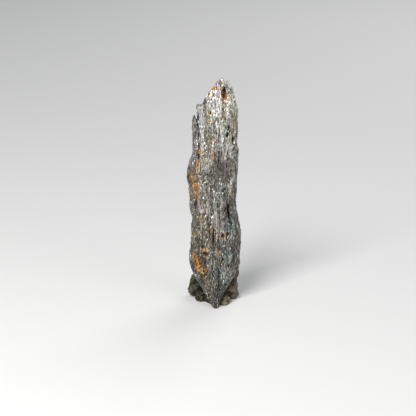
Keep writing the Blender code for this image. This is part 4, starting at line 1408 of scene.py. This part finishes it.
class SPECIMEN_OT_laths(bpy.types.Operator):
    """Lay thin laths along the blade"""

    bl_idname = "specimen.laths"
    bl_label = "Loose Laths"

    def execute(self, context):
        given = context.scene.specimen.hematite
        points, masks, _ = blade_skin(given.fineness)
        mesh = loose_laths(points, masks, given.lath_count, LATH_SEED)
        add_piece("hematite_laths", mesh, hematite_finish(given), "hematite")
        return {"FINISHED"}


class SPECIMEN_OT_putty(bpy.types.Operator):
    """Press the wad of putty round the blade's foot"""

    bl_idname = "specimen.putty"
    bl_label = "Putty"

    def execute(self, context):
        given = context.scene.specimen.putty
        mesh = closed_rings("putty", [putty_skin(given.lip / MM)])
        add_piece("putty", mesh, putty_material(given), "putty", "putty_wad")
        return {"FINISHED"}


def add_softbox(name, place, aim, size, power):
    """A square area light at place that faces aim."""
    light = bpy.data.lights.new(name, "AREA")
    light.shape, light.size, light.energy = "SQUARE", size, power
    lamp = bpy.data.objects.new(name, light)
    bpy.context.scene.collection.objects.link(lamp)
    lamp.location = place
    lamp.rotation_euler = (Vector(aim) - Vector(place)).to_track_quat("-Z", "Y").to_euler()


class SPECIMEN_OT_stage(bpy.types.Operator):
    """Set up the floor, the soft lights and the camera"""

    bl_idname = "specimen.stage"
    bl_label = "Stage"

    def execute(self, context):
        given, scene = context.scene.specimen.stage, context.scene
        corners = np.array([(-1, -1, 0), (1, -1, 0), (1, 1, 0), (-1, 1, 0)]) * FLOOR_REACH / MM
        mesh = make_mesh("studio_floor", corners, np.array([[0, 1, 2, 3]]))
        floor = bpy.data.objects.new("studio_floor", mesh)
        scene.collection.objects.link(floor)
        mesh.materials.append(floor_material(given))
        for name, (place, size) in LAMPS.items():
            add_softbox(f"{name}_light", place, LAMP_AIM, size, getattr(given, f"{name}_power"))
        world = bpy.data.worlds.new("studio")
        world.use_nodes = True
        shader = world.node_tree.nodes["Background"]
        shader.inputs["Color"].default_value = given.room_colour
        shader.inputs["Strength"].default_value = given.room_level
        scene.world = world
        scene.view_settings.view_transform = "Standard"

        back = Vector((0.0, -math.cos(given.elevation), math.sin(given.elevation)))
        up = Vector((0.0, math.sin(given.elevation), math.cos(given.elevation)))
        side = Vector((1.0, 0.0, 0.0))
        aim = Vector(CAMERA_AIM) * MM + up * CAMERA_RISE * MM
        cosine, sine = math.cos(given.roll), math.sin(given.roll)
        turned = Matrix((side * cosine + up * sine, up * cosine - side * sine, back)).transposed()
        camera = bpy.data.cameras.new("camera")
        camera.lens, camera.clip_start = given.lens, 0.01
        holder = bpy.data.objects.new("camera", camera)
        scene.collection.objects.link(holder)
        holder.matrix_world = Matrix.Translation(aim + back * given.distance) @ turned.to_4x4()
        scene.camera = holder
        return {"FINISHED"}


class SPECIMEN_PT_panel(bpy.types.Panel):
    """The specimen's settings and its operators"""

    bl_idname = "SPECIMEN_PT_panel"
    bl_label = "Hematite Blade"
    bl_space_type = "VIEW_3D"
    bl_region_type = "UI"
    bl_category = "Hematite"

    def draw(self, context):
        given = context.scene.specimen
        for operator, settings in (
            (SPECIMEN_OT_stage, given.stage),
            (SPECIMEN_OT_blade, given.hematite),
            (SPECIMEN_OT_laths, None),
            (SPECIMEN_OT_putty, given.putty),
        ):
            box = self.layout.box()
            box.operator(operator.bl_idname)
            if settings:
                for key in settings.bl_rna.properties.keys()[2:]:
                    box.prop(settings, key)


CLASSES = (
    HematiteSettings,
    PuttySettings,
    StageSettings,
    SpecimenSettings,
    SPECIMEN_OT_stage,
    SPECIMEN_OT_blade,
    SPECIMEN_OT_laths,
    SPECIMEN_OT_putty,
    SPECIMEN_PT_panel,
)


def register():
    """Register the classes and hang the settings on the scene."""
    for kind in CLASSES:
        bpy.utils.register_class(kind)
    bpy.types.Scene.specimen = bpy.props.PointerProperty(type=SpecimenSettings)


def unregister():
    """Take away what register added."""
    del bpy.types.Scene.specimen
    for kind in reversed(CLASSES):
        bpy.utils.unregister_class(kind)


def main():
    """Build the stage and the specimen."""
    register()
    bpy.ops.specimen.stage()
    bpy.ops.specimen.blade()
    bpy.ops.specimen.laths()
    bpy.ops.specimen.putty()


if __name__ == "__main__":
    main()
